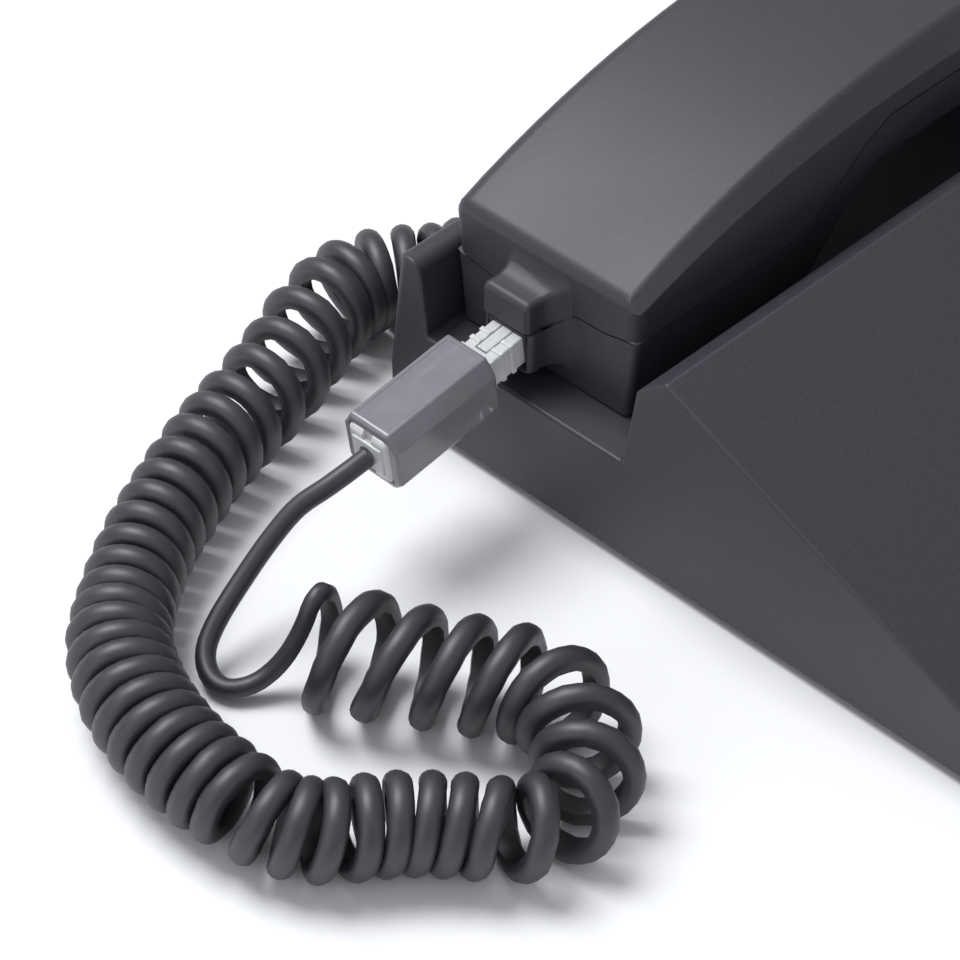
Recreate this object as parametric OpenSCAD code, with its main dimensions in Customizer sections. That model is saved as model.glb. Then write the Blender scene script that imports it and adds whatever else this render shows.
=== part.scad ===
// Desk telephone with a rotary dial: a low wedge body, a handset lying crosswise in a trough at the back,
// and a curly handset cord that hangs from a swivel on the handset's left end.
// Origin: bottom centre of the body on the table. +X to the right along the handset, -Y to the front, +Z up.

/* [Body] */
// Width of the body, side to side
body_w = 222; // [200:1:270]
// Depth of the body, front to back
body_d = 169; // [166:1:210]
// Wall thickness of the moulded housing
wall = 2.6; // [2:0.1:2.8]
// Height of the rear wall behind the handset
rear_h = 42.4; // [38:0.2:44]
// Thickness of the rear wall at its top edge
rear_t = 6; // [5.8:0.1:8]
// Height of the ridge in front of the handset, the highest point of the body
ridge_h = 50.4; // [48:0.2:60]
// Distance from the back of the body to the ridge
ridge_back = 73.5; // [73:0.5:76]
// Height of the front lip where the dial face ends
lip_h = 9; // [9:0.5:12]

/* [Trough] */
// Height of the trough floor that the handset lies on
trough_z = 25.2; // [25.2:0.2:27]
// Clear width of the trough floor, front to back
trough_w = 52.2; // [51:0.2:53]

/* [Feet and base] */
// Height of the rubber feet
foot_h = 2.1; // [1.5:0.1:2.2]
// Radius of a rubber foot
foot_r = 7; // [5:0.5:9]
// Thickness of the base plate
base_t = 2.5; // [2:0.1:2.5]
// Radius of a housing screw's shank
screw_r = 1.4; // [1.2:0.1:1.6]

/* [Dial] */
// Radius of the dial's outer trim ring
bezel_r = 43; // [42:0.5:45]
// Radius of the finger wheel
wheel_r = 38; // [36:0.5:38.5]
// Radius of one finger hole
finger_r = 6.8; // [6:0.1:7]
// Radius of the circle through the finger holes' centres
finger_circle = 28.6; // [27.5:0.1:29]
// Number of finger holes
finger_holes = 10; // [8:1:10]
// Radius of the dial's main shaft
shaft_r = 3; // [2.5:0.1:3.4]
// Radius of the round card in the middle of the wheel
card_r = 13; // [10:0.5:14]

/* [Dial works] */
// Tooth size (module) of the gear train
gear_m = 0.6; // [0.5:0.05:0.6]
// Teeth on the main gear
main_teeth = 60; // [48:1:60]
// Teeth on the pinion that the main gear drives
pinion_teeth = 15; // [12:1:15]
// Teeth on the wheel that drives the governor
idler_teeth = 48; // [40:1:48]
// Teeth on the governor's pinion
governor_teeth = 12; // [10:1:12]

/* [Handset] */
// Gap from the body's side to the handset's end face
handset_inset = 9.7; // [8:0.1:12]
// Width of the handset above its seam
handset_w = 49.4; // [46:0.1:49.8]
// Height of the handset's end face
handset_end_h = 28; // [26:0.5:30]
// Height of the handset at its middle, above the trough
handset_mid_h = 47.2; // [44:0.2:52]
// Thickness of the grip at the middle
grip_t = 24; // [22:0.5:26]
// Wall thickness of the handset shells
shell_t = 2.2; // [1.8:0.1:2.4]
// Length of the flat ear and mouth ends
cap_len = 50; // [48:0.5:54]
// Rim left between the handset's side and the ear and mouth caps
cap_rim = 5.2; // [5.2:0.1:7.6]

/* [Swivel and cord] */
// Droop of the swivel below level, in degrees
droop = 8; // [4:1:10]
// Width and height of the swivel's body
swivel_w = 14.4; // [14:0.1:16]
// Length of the swivel's body
swivel_l = 27; // [26:0.2:30]
// Width of a modular plug
plug_w = 7.9; // [7.6:0.1:8]
// Height of a modular plug
plug_h = 6.8; // [6.4:0.1:7]
// Diameter of the cord itself
cord_d = 4.6; // [4:0.1:4.8]

/* [Ringer] */
// Radius of a bell gong
gong_r = 20; // [18:0.5:20]
// Gap between the two gongs' rims
gong_gap = 6; // [6:0.5:10]

/* [Hook] */
// Radius of a hook plunger
plunger_r = 5; // [4:0.1:6]
// Distance of each plunger from the middle
plunger_x = 66; // [60:1:72]

/* [Hidden] */
$fn = 64;
charcoal = "#2b2c30";

// Clearances: a running fit, and a loose gap round parts that only sit near each other
fit = 0.06;
loose = 0.3;

// --- Small 2D helpers -------------------------------------------------------------------------------------------
function unit(v) = v / norm(v);
function edge_normal(a, b) = let (d = unit(b - a)) [-d[1], d[0]];
function turn(a, b, c) = let (u = b - a, v = c - b) u[0] * v[1] - u[1] * v[0];
// Corner i of a counter-clockwise outline moved inwards by t
function inset_corner(p, i, t) =
    let (n = len(p), a = p[(i + n - 1) % n], b = p[i], c = p[(i + 1) % n],
         m1 = edge_normal(a, b), m2 = edge_normal(b, c))
    b + t * (m1 + m2) / (1 + m1 * m2);
function inset_outline(p, t) = [for (i = [0:len(p) - 1]) inset_corner(p, i, t)];
// The outline with an arc of radius r[i] at corner i
function rounded(p, r, steps = 5) = [
    for (i = [0:len(p) - 1])
        let (n = len(p), a = p[(i + n - 1) % n], b = p[i], c = p[(i + 1) % n],
             side = turn(a, b, c) > 0 ? 1 : -1,
             centre = inset_corner(p, i, side * r[i]),
             m1 = -side * edge_normal(a, b), m2 = -side * edge_normal(b, c))
        each (r[i] == 0 ? [b] : [for (k = [0:steps]) centre + r[i] * unit(m1 + (m2 - m1) * k / steps)])
];

module rounded_square(w, d, r) {
    square([w - 2 * r, d], center = true);
    square([w, d - 2 * r], center = true);
    for (x = [-1, 1], y = [-1, 1]) translate([x * (w / 2 - r), y * (d / 2 - r)]) circle(r);
}
// A (y, z) outline drawn out along X, centred on x = 0
module along_x(w) {
    translate([-w / 2, 0, 0]) rotate([90, 0, 90]) linear_extrude(w) children();
}
// An (x, z) outline drawn out along Y, from y0 to y0 + w
module along_y(y0, w) {
    translate([0, y0 + w, 0]) rotate([90, 0, 0]) linear_extrude(w) children();
}
module disc(r, z0, z1) {
    translate([0, 0, z0]) cylinder(r = r, h = z1 - z0);
}
module ring(r_out, r_in, z0, z1) {
    difference() {
        disc(r_out, z0, z1);
        disc(r_in, z0 - 1, z1 + 1);
    }
}
module box(x0, x1, y0, y1, z0, z1) {
    translate([x0, y0, z0]) cube([x1 - x0, y1 - y0, z1 - z0]);
}

// --- Body outline -----------------------------------------------------------------------------------------------
rear_y = body_d / 2;
front_y = -body_d / 2;
rear_bulge = 3.3;
trough_rear_y = rear_y - rear_bulge - rear_t - 2;
trough_front_y = trough_rear_y - trough_w;
land_y = trough_front_y - 2.9;
land_z = ridge_h - 6;
ridge_y = rear_y - ridge_back;
lip_y = front_y + 4;
body_outline = [
    [front_y, foot_h], [rear_y, foot_h], [rear_y, 15], [rear_y - rear_bulge, rear_h],
    [rear_y - rear_bulge - rear_t, rear_h], [trough_rear_y, trough_z], [trough_front_y, trough_z],
    [land_y, land_z], [ridge_y, ridge_h], [lip_y, lip_h], [front_y, lip_h - 3.5]
];
body_radii = [0, 1, 6, 2.6, 2.6, 1, 1, 1.5, 1.2, 3, 2];
inner_outline = inset_outline(body_outline, wall);
// The inner outline runs out through the open bottom
cavity_outline = [for (i = [0:len(inner_outline) - 1]) i < 2 ? [inner_outline[i][0], -5] : inner_outline[i]];
plan_r = 3;
base_top = foot_h + base_t;
cavity_w = body_w - 2 * wall;

// Where a screw boss stands, and how high the roof is over it
screw_x = body_w / 2 - 11;
slope = atan2(ridge_h - lip_h, ridge_y - lip_y);
function roof_z(y) = ridge_h - (ridge_y - y) * tan(slope) - wall / cos(slope);
boss_front_y = front_y + 26;
screw_rows = [[boss_front_y, roof_z(boss_front_y)], [rear_y - 24, trough_z - wall]];

// --- Dial frame of reference: z = 0 on the sloping face, at the middle of the slope ------------------------------
face_y = (ridge_y + lip_y) / 2;
face_z = (ridge_h + lip_h) / 2;
module on_face() {
    translate([0, face_y, face_z]) rotate([slope, 0, 0]) children();
}
hole_r = bezel_r - 7;
plate_r = bezel_r - 2.5;
plate_h = 1.8;
wheel_z = 4.6;
wheel_t = 2;
finger_pitch = 30;
first_hole = 0;
stop_angle = -60;

// Gear centres and layers in the dial works, measured down from the face
frame_z = -6.2;
frame_t = 1.2;
rear_z = -17.2;
rear_plate_t = 1.2;
main_r = gear_m * main_teeth / 2;
pinion_r = gear_m * pinion_teeth / 2;
idler_r = gear_m * idler_teeth / 2;
governor_r = gear_m * governor_teeth / 2;
idler_at = (main_r + pinion_r) * [cos(150), sin(150)];
governor_at = idler_at + (idler_r + governor_r) * [cos(75), sin(75)];
small_shaft_r = 1.2;
pillars = [[26, 6], [14, 27], [-29, -12]];
module at(p) {
    translate([p[0], p[1], 0]) children();
}

// --- Handset ----------------------------------------------------------------------------------------------------
handset_z = trough_z + 0.2;
handset_half = body_w / 2 - handset_inset;
// The upper shell just overhangs the rounded top of the rear wall; the lower shell tapers to clear it
handset_y = trough_rear_y + 2.8 - handset_w;
handset_mid_y = handset_y + handset_w / 2;
cap_y = handset_mid_y - 0.7;
end_top = handset_z + handset_end_h;
mid_top = handset_z + handset_mid_h;
cap_r = handset_w / 2 - cap_rim;
cap_inner = handset_half - cap_len;
cap_x = handset_half - cap_len / 2;
seam_end = handset_z + 16;
seam_mid = mid_top - 15;
arch_steps = 14;
// Height of a curve that runs from z_mid at the middle to z_end at the ends, as a power of |x|
function arch(x, reach, z_mid, z_end, power) = z_mid - (z_mid - z_end) * pow(min(1, abs(x) / reach), power);
function span(half, steps) = [for (i = [-steps:steps]) half * i / steps];
function top_z(x) = arch(x, handset_half, mid_top, end_top, 2.3);
// The grip's underside and the seam both rise over the middle, between the two flat ends
function rise(x) = let (t = (cap_inner + 6 - abs(x)) / 30) t <= 0 ? 0 : t >= 1 ? 1 : t * t * (3 - 2 * t);
function under_z(x) = handset_z + rise(x) * (mid_top - grip_t - handset_z);
function seam_z(x) = seam_end + rise(x) * (seam_mid - seam_end);
handset_rear_y = handset_y + handset_w;
handset_cross = [
    [handset_y + 2, handset_z - 9], [handset_rear_y - 3.4, handset_z - 9], [handset_rear_y - 3.4, handset_z],
    [handset_rear_y - 1.9, seam_end - 0.8], [handset_rear_y, seam_end + 2.4], [handset_rear_y, 120],
    [handset_y, 120], [handset_y, seam_end], [handset_y + 2, handset_z]
];
function reversed(v) = [for (i = [len(v) - 1:-1:0]) v[i]];
function band(half, low, high) = concat(
    [for (x = span(half, arch_steps)) [x, low(x)]],
    [for (x = reversed(span(half, arch_steps))) [x, high(x)]]);

// Socket boss on the handset's left end
boss_l = 7.6;
boss_x = -handset_half - boss_l;
boss_y = [handset_mid_y - 2.7, handset_mid_y + 8.7];
boss_z = [handset_z + 3.6, handset_z + 20.6];
boss_split = handset_z + 13.5;
plug_y = handset_mid_y + 2;
plug_z = handset_z + 9;
// Swivel frame of reference: -X runs out of the socket along the swivel's axis
module on_swivel() {
    translate([boss_x, plug_y, plug_z]) rotate([0, -droop, 0]) children();
}
swivel_gap = 9.5;
swivel_end = swivel_gap + swivel_l;
stem_r = 3.2;
plug_depth = 9;

// --- Cord route -------------------------------------------------------------------------------------------------
lead_points = [
    [-146.6, 52.9, 29.1], [-151, 53.4, 28], [-155.5, 54.6, 26.2], [-161, 57, 23], [-167, 58, 18.5], [-174, 58, 13.5],
    [-182, 57, 8.5], [-187, 55, 5.2], [-189.5, 51, 3.2], [-189, 47, 2.6], [-185, 44, 2.8], [-179.5, 43, 5]
];
// Middle of the curls, and their outer radius there: the first turns by the lead are the widest
coil_points = [
    [-180, 42, 11.2], [-173, 31, 11.6], [-169, 23, 11.6], [-164, 15, 11.5], [-159, 7, 11.4],
    [-155, -1, 11.2], [-156, -10, 11], [-161, -18, 10.6], [-168, -23, 10.2], [-175, -23.6, 9.8],
    [-181.5, -20.2, 9.6], [-187.2, -13.2, 9.6], [-193.2, -6.2, 9.6], [-199.2, -1.2, 9.6],
    [-205.4, 3.6, 9.6], [-209.8, 11.2, 9.6], [-211.5, 22, 9.9], [-211.5, 34, 10.2], [-209.5, 45, 10.4],
    [-206, 54.5, 10.4], [-200, 64, 10.1], [-191, 72, 9.7], [-182.6, 78, 9.6], [-174.3, 82.7, 9.7],
    [-165.4, 86.6, 9.9], [-156.3, 90.4, 10.1], [-146, 93.5, 10.5], [-135.8, 96.2, 10.7],
    [-126.2, 99.1, 10.8], [-116.6, 103, 11], [-107, 106.2, 11.2], [-97.5, 107.6, 11], [-89, 104.6, 10.6],
    [-81, 99.8, 10.2], [-72, 97.2, 9.8], [-60, 96.6, 9.6], [-45, 96.8, 9.5], [-25, 98.5, 9.5], [-5, 100, 9.5]
];
tail_points = [
    [-5, 100, 9.6], [3, 100, 7], [12, 101, 4.5], [22, 105, 3], [31, 110, 3.5], [37, 113, 6], [40, 109, 9.4],
    [40, 102, 11.4], [40, 95, 11.4], [40, 88.5, 11.4]
];
jack_x = 40;
jack_z = 11.4;
line_x = 64;

function path_dir(p, i) = unit(p[min(i + 1, len(p) - 1)] - p[max(i - 1, 0)]);
// A tube swept along the points, with one ring of its own radius at each point
module swept_tube(p, radii, sides = 8) {
    n = len(p);
    rings = [
        for (i = [0:n - 1])
            let (t = path_dir(p, i), u = unit(cross(t, abs(t[2]) > 0.9 ? [1, 0, 0] : [0, 0, 1])), v = cross(u, t))
            for (k = [0:sides - 1]) p[i] + radii[i] * (cos(360 * k / sides) * u + sin(360 * k / sides) * v)
    ];
    skin = [
        for (i = [0:n - 2], k = [0:sides - 1])
            let (a = i * sides + k, b = i * sides + (k + 1) % sides)
            [a, b, b + sides, a + sides]
    ];
    near = [for (k = [sides - 1:-1:0]) k];
    far = [for (k = [0:sides - 1]) (n - 1) * sides + k];
    triangles = [for (f = skin) each [[f[0], f[1], f[2]], [f[0], f[2], f[3]]]];
    polyhedron(rings, concat(triangles, [near, far]));
}

// --- Body parts -------------------------------------------------------------------------------------------------
module upper_housing() {
    color(charcoal) difference() {
        union() {
            difference() {
                intersection() {
                    along_x(body_w) polygon(rounded(body_outline, body_radii));
                    linear_extrude(ridge_h + 10) rounded_square(body_w, body_d, plan_r);
                }
                along_x(cavity_w) polygon(cavity_outline);
            }
            for (row = screw_rows, x = [-screw_x, screw_x])
                translate([x, row[0], 0]) disc(4, base_top, row[1] + 0.6);
        }
        on_face() disc(hole_r, -12, 5);
        for (x = [-plunger_x, plunger_x])
            translate([x, handset_mid_y, 0]) disc(plunger_r + fit, trough_z - wall - 1, trough_z + 1);
        for (row = screw_rows, x = [-screw_x, screw_x])
            translate([x, row[0], 0]) disc(screw_r, base_top - 1, row[1] - 2);
        for (x = [jack_x, line_x])
            box(x - 6.5, x + 6.5, rear_y - 14, rear_y + 2, base_top - 5, jack_z + 6);
    }
}

module base_plate() {
    color("#3a3b3f") difference() {
        translate([0, 0, foot_h]) linear_extrude(base_t)
            rounded_square(cavity_w - 2 * loose, body_d - 2 * wall - 2 * loose, 1);
        for (row = screw_rows, x = [-screw_x, screw_x])
            translate([x, row[0], 0]) {
                disc(screw_r + 0.2, 0, 9);
                disc(2.8, foot_h - 1, foot_h + 1.3);
            }
        // Sound slots under the ringer
        for (i = [-3:3]) box(ringer_x - 12, ringer_x + 12, ringer_y + 7 * i - 1.1, ringer_y + 7 * i + 1.1, 0, 9);
        // The two sockets stand through the plate's rear edge
        for (x = [jack_x, line_x])
            box(x - 6.5 - loose, x + 6.5 + loose, rear_y - 14.5, rear_y, 0, 9);
    }
}

module feet() {
    color("#151515") for (x = [-1, 1], y = [-1, 1])
        translate([x * (body_w / 2 - 26), y * (body_d / 2 - 22), 0]) disc(foot_r, 0, foot_h);
}

module housing_screws() {
    color("silver") for (row = screw_rows, x = [-screw_x, screw_x])
        translate([x, row[0], 0]) difference() {
            union() {
                disc(2.6, foot_h + 0.1, foot_h + 1.3);
                disc(screw_r, foot_h + 1.3, row[1] - 3);
            }
            for (a = [0, 90]) rotate([0, 0, a]) box(-1.8, 1.8, -0.3, 0.3, 0, foot_h + 0.8);
        }
}

// --- Dial parts on the face -------------------------------------------------------------------------------------
module number_plate() {
    color("white") on_face() difference() {
        disc(plate_r, 0, plate_h);
        disc(shaft_r + 1, -1, 4);
    }
}

module dial_bezel() {
    color("#1c1c1e") on_face() difference() {
        union() {
            ring(bezel_r, plate_r + 0.2, 0, 3.6);
            ring(bezel_r - 0.8, wheel_r + 0.8, plate_h, 4.4);
        }
    }
}

module finger_stop() {
    color("silver") on_face() rotate([0, 0, stop_angle]) {
        box(bezel_r - 2.6, bezel_r - 1, -3.2, 3.2, 4.4, 8.4);
        box(finger_circle - finger_r + 1, bezel_r - 1, -2.2, 2.2, wheel_z + wheel_t + 0.9, 8.9);
    }
}

module finger_wheel() {
    color("#101012") on_face() difference() {
        union() {
            disc(wheel_r, wheel_z, wheel_z + wheel_t);
            disc(card_r + 2, wheel_z + wheel_t - 0.1, wheel_z + wheel_t + 1.8);
            disc(7, plate_h + 0.5, wheel_z + 0.1);
        }
        for (i = [0:finger_holes - 1])
            rotate([0, 0, first_hole + finger_pitch * i]) translate([finger_circle, 0, 0])
                disc(finger_r, 0, 12);
        disc(card_r, wheel_z + wheel_t, 12);
        disc(shaft_r, -1, wheel_z + wheel_t + 1);
    }
}

module dial_card() {
    color("ivory") on_face() disc(card_r - 0.1, wheel_z + wheel_t, wheel_z + wheel_t + 0.5);
}

module card_window() {
    color([0.8, 0.9, 1, 0.4]) on_face() {
        disc(card_r - 0.1, wheel_z + wheel_t + 0.5, wheel_z + wheel_t + 1.6);
    }
}

module dial_shaft() {
    color("silver") on_face() disc(shaft_r, rear_z, wheel_z + wheel_t);
}

// A spur gear about z with simple tapered teeth
module gear(teeth, z0, z1, bore) {
    r = gear_m * teeth / 2;
    pitch = 360 / teeth;
    tip = r + 0.8 * gear_m;
    root = r - 1.1 * gear_m;
    outline = [
        for (i = [0:teeth - 1])
            each [
                root * [cos((i - 0.3) * pitch), sin((i - 0.3) * pitch)],
                tip * [cos((i - 0.1) * pitch), sin((i - 0.1) * pitch)],
                tip * [cos((i + 0.1) * pitch), sin((i + 0.1) * pitch)],
                root * [cos((i + 0.3) * pitch), sin((i + 0.3) * pitch)]
            ]
    ];
    difference() {
        translate([0, 0, z0]) linear_extrude(z1 - z0) polygon(outline);
        disc(bore, z0 - 1, z1 + 1);
    }
}

// --- Dial works under the face ----------------------------------------------------------------------------------
module main_gear() {
    color("goldenrod") on_face() difference() {
        rotate([0, 0, 150]) gear(main_teeth, -8.6, -7.4, shaft_r);
        for (a = [0:60:300]) rotate([0, 0, a]) translate([main_r * 0.62, 0, 0]) disc(2.6, -9, -7);
    }
}

module dial_frame() {
    color("silver") on_face() difference() {
        union() {
            disc(34, frame_z, frame_z + frame_t);
            at(governor_at) disc(9, frame_z, frame_z + frame_t);
            for (a = [20, 200, 290]) rotate([0, 0, a]) translate([31, 0, 0]) disc(2.4, frame_z + frame_t, 0);
        }
        disc(shaft_r + fit, frame_z - 1, 0);
        at(idler_at) disc(small_shaft_r + fit, frame_z - 1, 0);
        at(governor_at) disc(small_shaft_r + fit, frame_z - 1, 0);
    }
}

module dial_rear_plate() {
    color("silver") on_face() difference() {
        union() {
            translate([0, 10, rear_z]) linear_extrude(rear_plate_t) rounded_square(64, 52, 6);
            at(governor_at) disc(9, rear_z, rear_z + rear_plate_t);
            for (p = pillars) at(p) disc(2, rear_z + rear_plate_t, frame_z);
        }
        disc(shaft_r + fit, rear_z - 1, 0);
        at(idler_at) disc(small_shaft_r + fit, rear_z - 1, rear_z + 3);
        at(governor_at) disc(small_shaft_r + fit, rear_z - 1, rear_z + 3);
    }
}

module spring_cup() {
    color("silver") on_face() difference() {
        disc(10, rear_z + rear_plate_t, -11.4);
        disc(9.2, rear_z + rear_plate_t + 0.8, -10);
        disc(shaft_r + loose, rear_z, -10);
    }
}

module return_spring() {
    color("#5b6470") on_face() for (r = [4.6:1.2:9])
        ring(r, r - 0.6, rear_z + rear_plate_t + 1, -11.8);
}

module idler_shaft() {
    color("silver") on_face() at(idler_at) disc(small_shaft_r, rear_z, frame_z + frame_t);
}

module idler_pinion() {
    color("goldenrod") on_face() at(idler_at)
        rotate([0, 0, 150 + 180 + 180 / pinion_teeth]) gear(pinion_teeth, -9.6, -7.2, small_shaft_r);
}

module idler_gear() {
    color("goldenrod") on_face() at(idler_at) rotate([0, 0, 75]) gear(idler_teeth, -10.7, -9.6, small_shaft_r);
}

module pulse_cam() {
    color("ivory") on_face() at(idler_at) difference() {
        union() {
            disc(3.4, -12.8, -11);
            for (a = [0, 120, 240]) rotate([0, 0, a]) box(0, 5.6, -1.2, 1.2, -12.8, -11);
        }
        disc(small_shaft_r, -14, -10);
    }
}

module pulse_contacts() {
    color("darkkhaki") on_face() at(idler_at) {
        for (x = [-7.6, -9.2]) box(x, x + 0.4, -12, 8, -12.6, -11.2);
        difference() {
            box(-10.4, -6, -17, -11, rear_z + rear_plate_t, -11);
            box(-8.8, -8, -18, -10, -14, -10);
        }
    }
}

module governor_cup() {
    color("silver") on_face() at(governor_at) difference() {
        disc(8, rear_z + rear_plate_t, -11.8);
        disc(7.3, rear_z + rear_plate_t + 0.8, -10);
        disc(small_shaft_r + loose, rear_z, -10);
    }
}

module governor_shaft() {
    color("silver") on_face() at(governor_at) disc(small_shaft_r, rear_z, frame_z + frame_t);
}

module governor_pinion() {
    color("goldenrod") on_face() at(governor_at)
        rotate([0, 0, 75 + 180 + 180 / governor_teeth]) gear(governor_teeth, -10.9, -9.4, small_shaft_r);
}

module governor_weights() {
    color("goldenrod") on_face() at(governor_at) difference() {
        union() {
            box(-5.4, 5.4, -0.8, 0.8, -14.4, -12.6);
            for (s = [-1, 1]) translate([5 * s, 0, 0]) disc(1.7, -14.8, -12.4);
            disc(2.4, -14.4, -12.6);
        }
        disc(small_shaft_r, -20, -10);
    }
}

// --- Hook switch ------------------------------------------------------------------------------------------------
hook_travel = 4;
bar_top = trough_z - wall - hook_travel - loose;
bar_t = 2;
module plunger(x) {
    color("#1a1a1c") translate([x, handset_mid_y, 0]) disc(plunger_r, bar_top, trough_z);
}
module plunger_left() { plunger(-plunger_x); }
module plunger_right() { plunger(plunger_x); }

module hook_bar() {
    color("silver") box(-plunger_x - 7, plunger_x + 7, handset_mid_y - 4, handset_mid_y + 4, bar_top - bar_t, bar_top);
}

module hook_spring() {
    color("#8d949c") translate([0, handset_mid_y, 0])
        for (i = [0:4]) ring(3.6, 2.8, base_top + 1.6 * i + 0.6, base_top + 1.6 * i + 1.5);
}

module hook_contacts() {
    color("darkkhaki") {
        for (i = [0:2]) box(-38, -16, handset_mid_y + 7 + 2 * i, handset_mid_y + 7.4 + 2 * i, 9, 13);
        difference() {
            box(-42, -36, handset_mid_y + 5.5, handset_mid_y + 13, base_top, 14);
            for (i = [0:2]) box(-38, -30, handset_mid_y + 7 + 2 * i, handset_mid_y + 7.4 + 2 * i, 9, 13);
        }
    }
}

// --- Ringer -----------------------------------------------------------------------------------------------------
ringer_x = 76;
ringer_y = face_y + 26;
gong_off = gong_r + gong_gap / 2;
gong_top = 17;
gong_t = 1.2;
module gong(y) {
    color("#b9bcc0") translate([ringer_x, ringer_y + y, 0]) rotate_extrude() {
        polygon([
            [2, gong_top - gong_t], [gong_r - 5, gong_top - gong_t], [gong_r - gong_t, gong_top - 5],
            [gong_r - gong_t, gong_top - 8], [gong_r, gong_top - 8], [gong_r, gong_top - 4.6],
            [gong_r - 4.4, gong_top], [2, gong_top]
        ]);
    }
}
module gong_rear() { gong(gong_off); }
module gong_front() { gong(-gong_off); }

module gong_posts() {
    color("silver") for (y = [-gong_off, gong_off]) translate([ringer_x, ringer_y + y, 0]) {
        disc(3.4, base_top, gong_top - gong_t);
        disc(1.9, gong_top - gong_t, gong_top + 0.6);
        disc(3.4, gong_top, gong_top + 1.2);
    }
}

clapper_l = 28;
clapper_x = ringer_x - clapper_l;
module ringer_frame() {
    color("silver") difference() {
        union() {
            box(clapper_x - 6, clapper_x + 6, ringer_y - 19, ringer_y + 19, base_top, base_top + 1.6);
            for (s = [-1, 1])
                box(clapper_x - 6, clapper_x + 6, ringer_y + 18.2 * s - 0.8, ringer_y + 18.2 * s + 0.8,
                    base_top, base_top + 15);
        }
        translate([clapper_x, ringer_y, 0]) disc(1.2 + fit, 0, base_top + 4);
    }
}

module ringer_coils() {
    color("#7a2f24") for (s = [-1, 1])
        translate([clapper_x, ringer_y + s * 10.4, base_top + 8.4]) rotate([90, 0, 0]) disc(6, -7, 7);
}

module clapper() {
    color("silver") translate([clapper_x, ringer_y, 0]) {
        disc(1.2, base_top + 0.1, base_top + 8);
        box(0, clapper_l, -0.5, 0.5, base_top + 4.6, base_top + 5.8);
        translate([clapper_l, 0, base_top + 5.2]) sphere(1.8);
    }
}

// --- Electrical parts -------------------------------------------------------------------------------------------
module circuit_board() {
    color("#2f6b3a") {
        box(-100, -46, -50, 12, base_top + 2, base_top + 3.6);
        for (x = [-96, -50], y = [-46, 8]) translate([x, y, 0]) disc(2, base_top, base_top + 2);
    }
}
module induction_coil() {
    color("#8a5a2a") box(-94, -72, -30, -6, base_top + 3.6, base_top + 13);
}
module capacitor() {
    color("#c9b070") translate([-62, -10, base_top + 3.6]) disc(6, 0, 12);
}
module ballast_weight() {
    color("dimgray") box(-96, -50, handset_mid_y - 20, handset_mid_y + 20, base_top, base_top + 7);
}

// A modular socket block at the back of the base, open to the rear
module rear_socket(x, w) {
    color("#0f0f10") difference() {
        box(x - 6.2, x + 6.2, rear_y - 13.8, rear_y - 0.6, foot_h + 0.3, jack_z + 5.6);
        box(x - w / 2 - 0.1, x + w / 2 + 0.1, rear_y - 12, rear_y + 1, jack_z - plug_h / 2 - 0.1, jack_z + plug_h / 2 + 0.1);
    }
}
module base_cord_jack() { rear_socket(jack_x, plug_w); }
module line_jack() { rear_socket(line_x, 9.7); }

// --- Handset parts ----------------------------------------------------------------------------------------------
module handset_plan(inset, r) {
    translate([0, handset_mid_y, -10]) linear_extrude(120)
        rounded_square(2 * (handset_half - inset), handset_w - 2 * inset, r);
}
// A solid between two heights along the handset, trimmed to its plan
module handset_band(low, high, inset, r) {
    intersection() {
        along_y(handset_y + inset, handset_w - 2 * inset) polygon(band(handset_half, low, high));
        handset_plan(inset, r);
        along_x(body_w) polygon(inset_outline(handset_cross, inset));
    }
}

module handset_upper() {
    color(charcoal) difference() {
        union() {
            handset_band(function (x) seam_z(x) + 0.05, function (x) top_z(x), 0, 3.2);
            box(boss_x, -handset_half + 1, boss_y[0], boss_y[1], boss_split + 0.05, boss_z[1]);
        }
        handset_band(function (x) seam_z(x) - 4, function (x) top_z(x) - shell_t, shell_t, 1.5);
        socket_block(0.1, plug_depth + 3);
    }
}

module handset_lower() {
    color(charcoal) difference() {
        union() {
            handset_band(function (x) under_z(x), function (x) seam_z(x) - 0.05, 0, 3.2);
            box(boss_x, -handset_half + 1, boss_y[0] - 2, boss_y[1], boss_z[0], boss_split - 0.05);
        }
        handset_band(function (x) under_z(x) + shell_t, function (x) seam_z(x) + 6, shell_t, 1.5);
        for (s = [-1, 1]) translate([s * cap_x, cap_y, 0]) disc(cap_r + 0.1, 0, handset_z + 6);
        socket_block(0.1, plug_depth + 3);
        // Step that the upper shell's half of the socket boss sits in
        box(boss_x - 1, -handset_half + 1.05, boss_y[0] - 0.05, boss_y[1] + 0.05, boss_split - 0.05, seam_end + 9);
        for (s = [-1, 1]) translate([s * screw_at, handset_mid_y, 0]) disc(1.5, under_z(screw_at) - 5, 90);
    }
    color(charcoal) for (s = [-1, 1]) translate([s * screw_at, handset_mid_y, 0])
        ring(3, 1.5, under_z(screw_at) + shell_t / 2, seam_z(screw_at) - 1);
}
screw_at = cap_inner - 22;

// The socket insert's block, grown by g, along the swivel's axis
module socket_block(g, depth) {
    on_swivel() box(-2 - g, depth, -plug_w / 2 - 1 - g, plug_w / 2 + 1 + g, -plug_h / 2 - 0.9 - g, plug_h / 2 + 0.9 + g);
}

module handset_jack() {
    color("#d9dde0") difference() {
        on_swivel() box(0.6, plug_depth + 3, -plug_w / 2 - 1, plug_w / 2 + 1, -plug_h / 2 - 0.9, plug_h / 2 + 0.9);
        on_swivel() box(-1, plug_depth + 1, -plug_w / 2 - 0.1, plug_w / 2 + 0.1, -plug_h / 2 - 0.1, plug_h / 2 + 0.1);
    }
}

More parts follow.
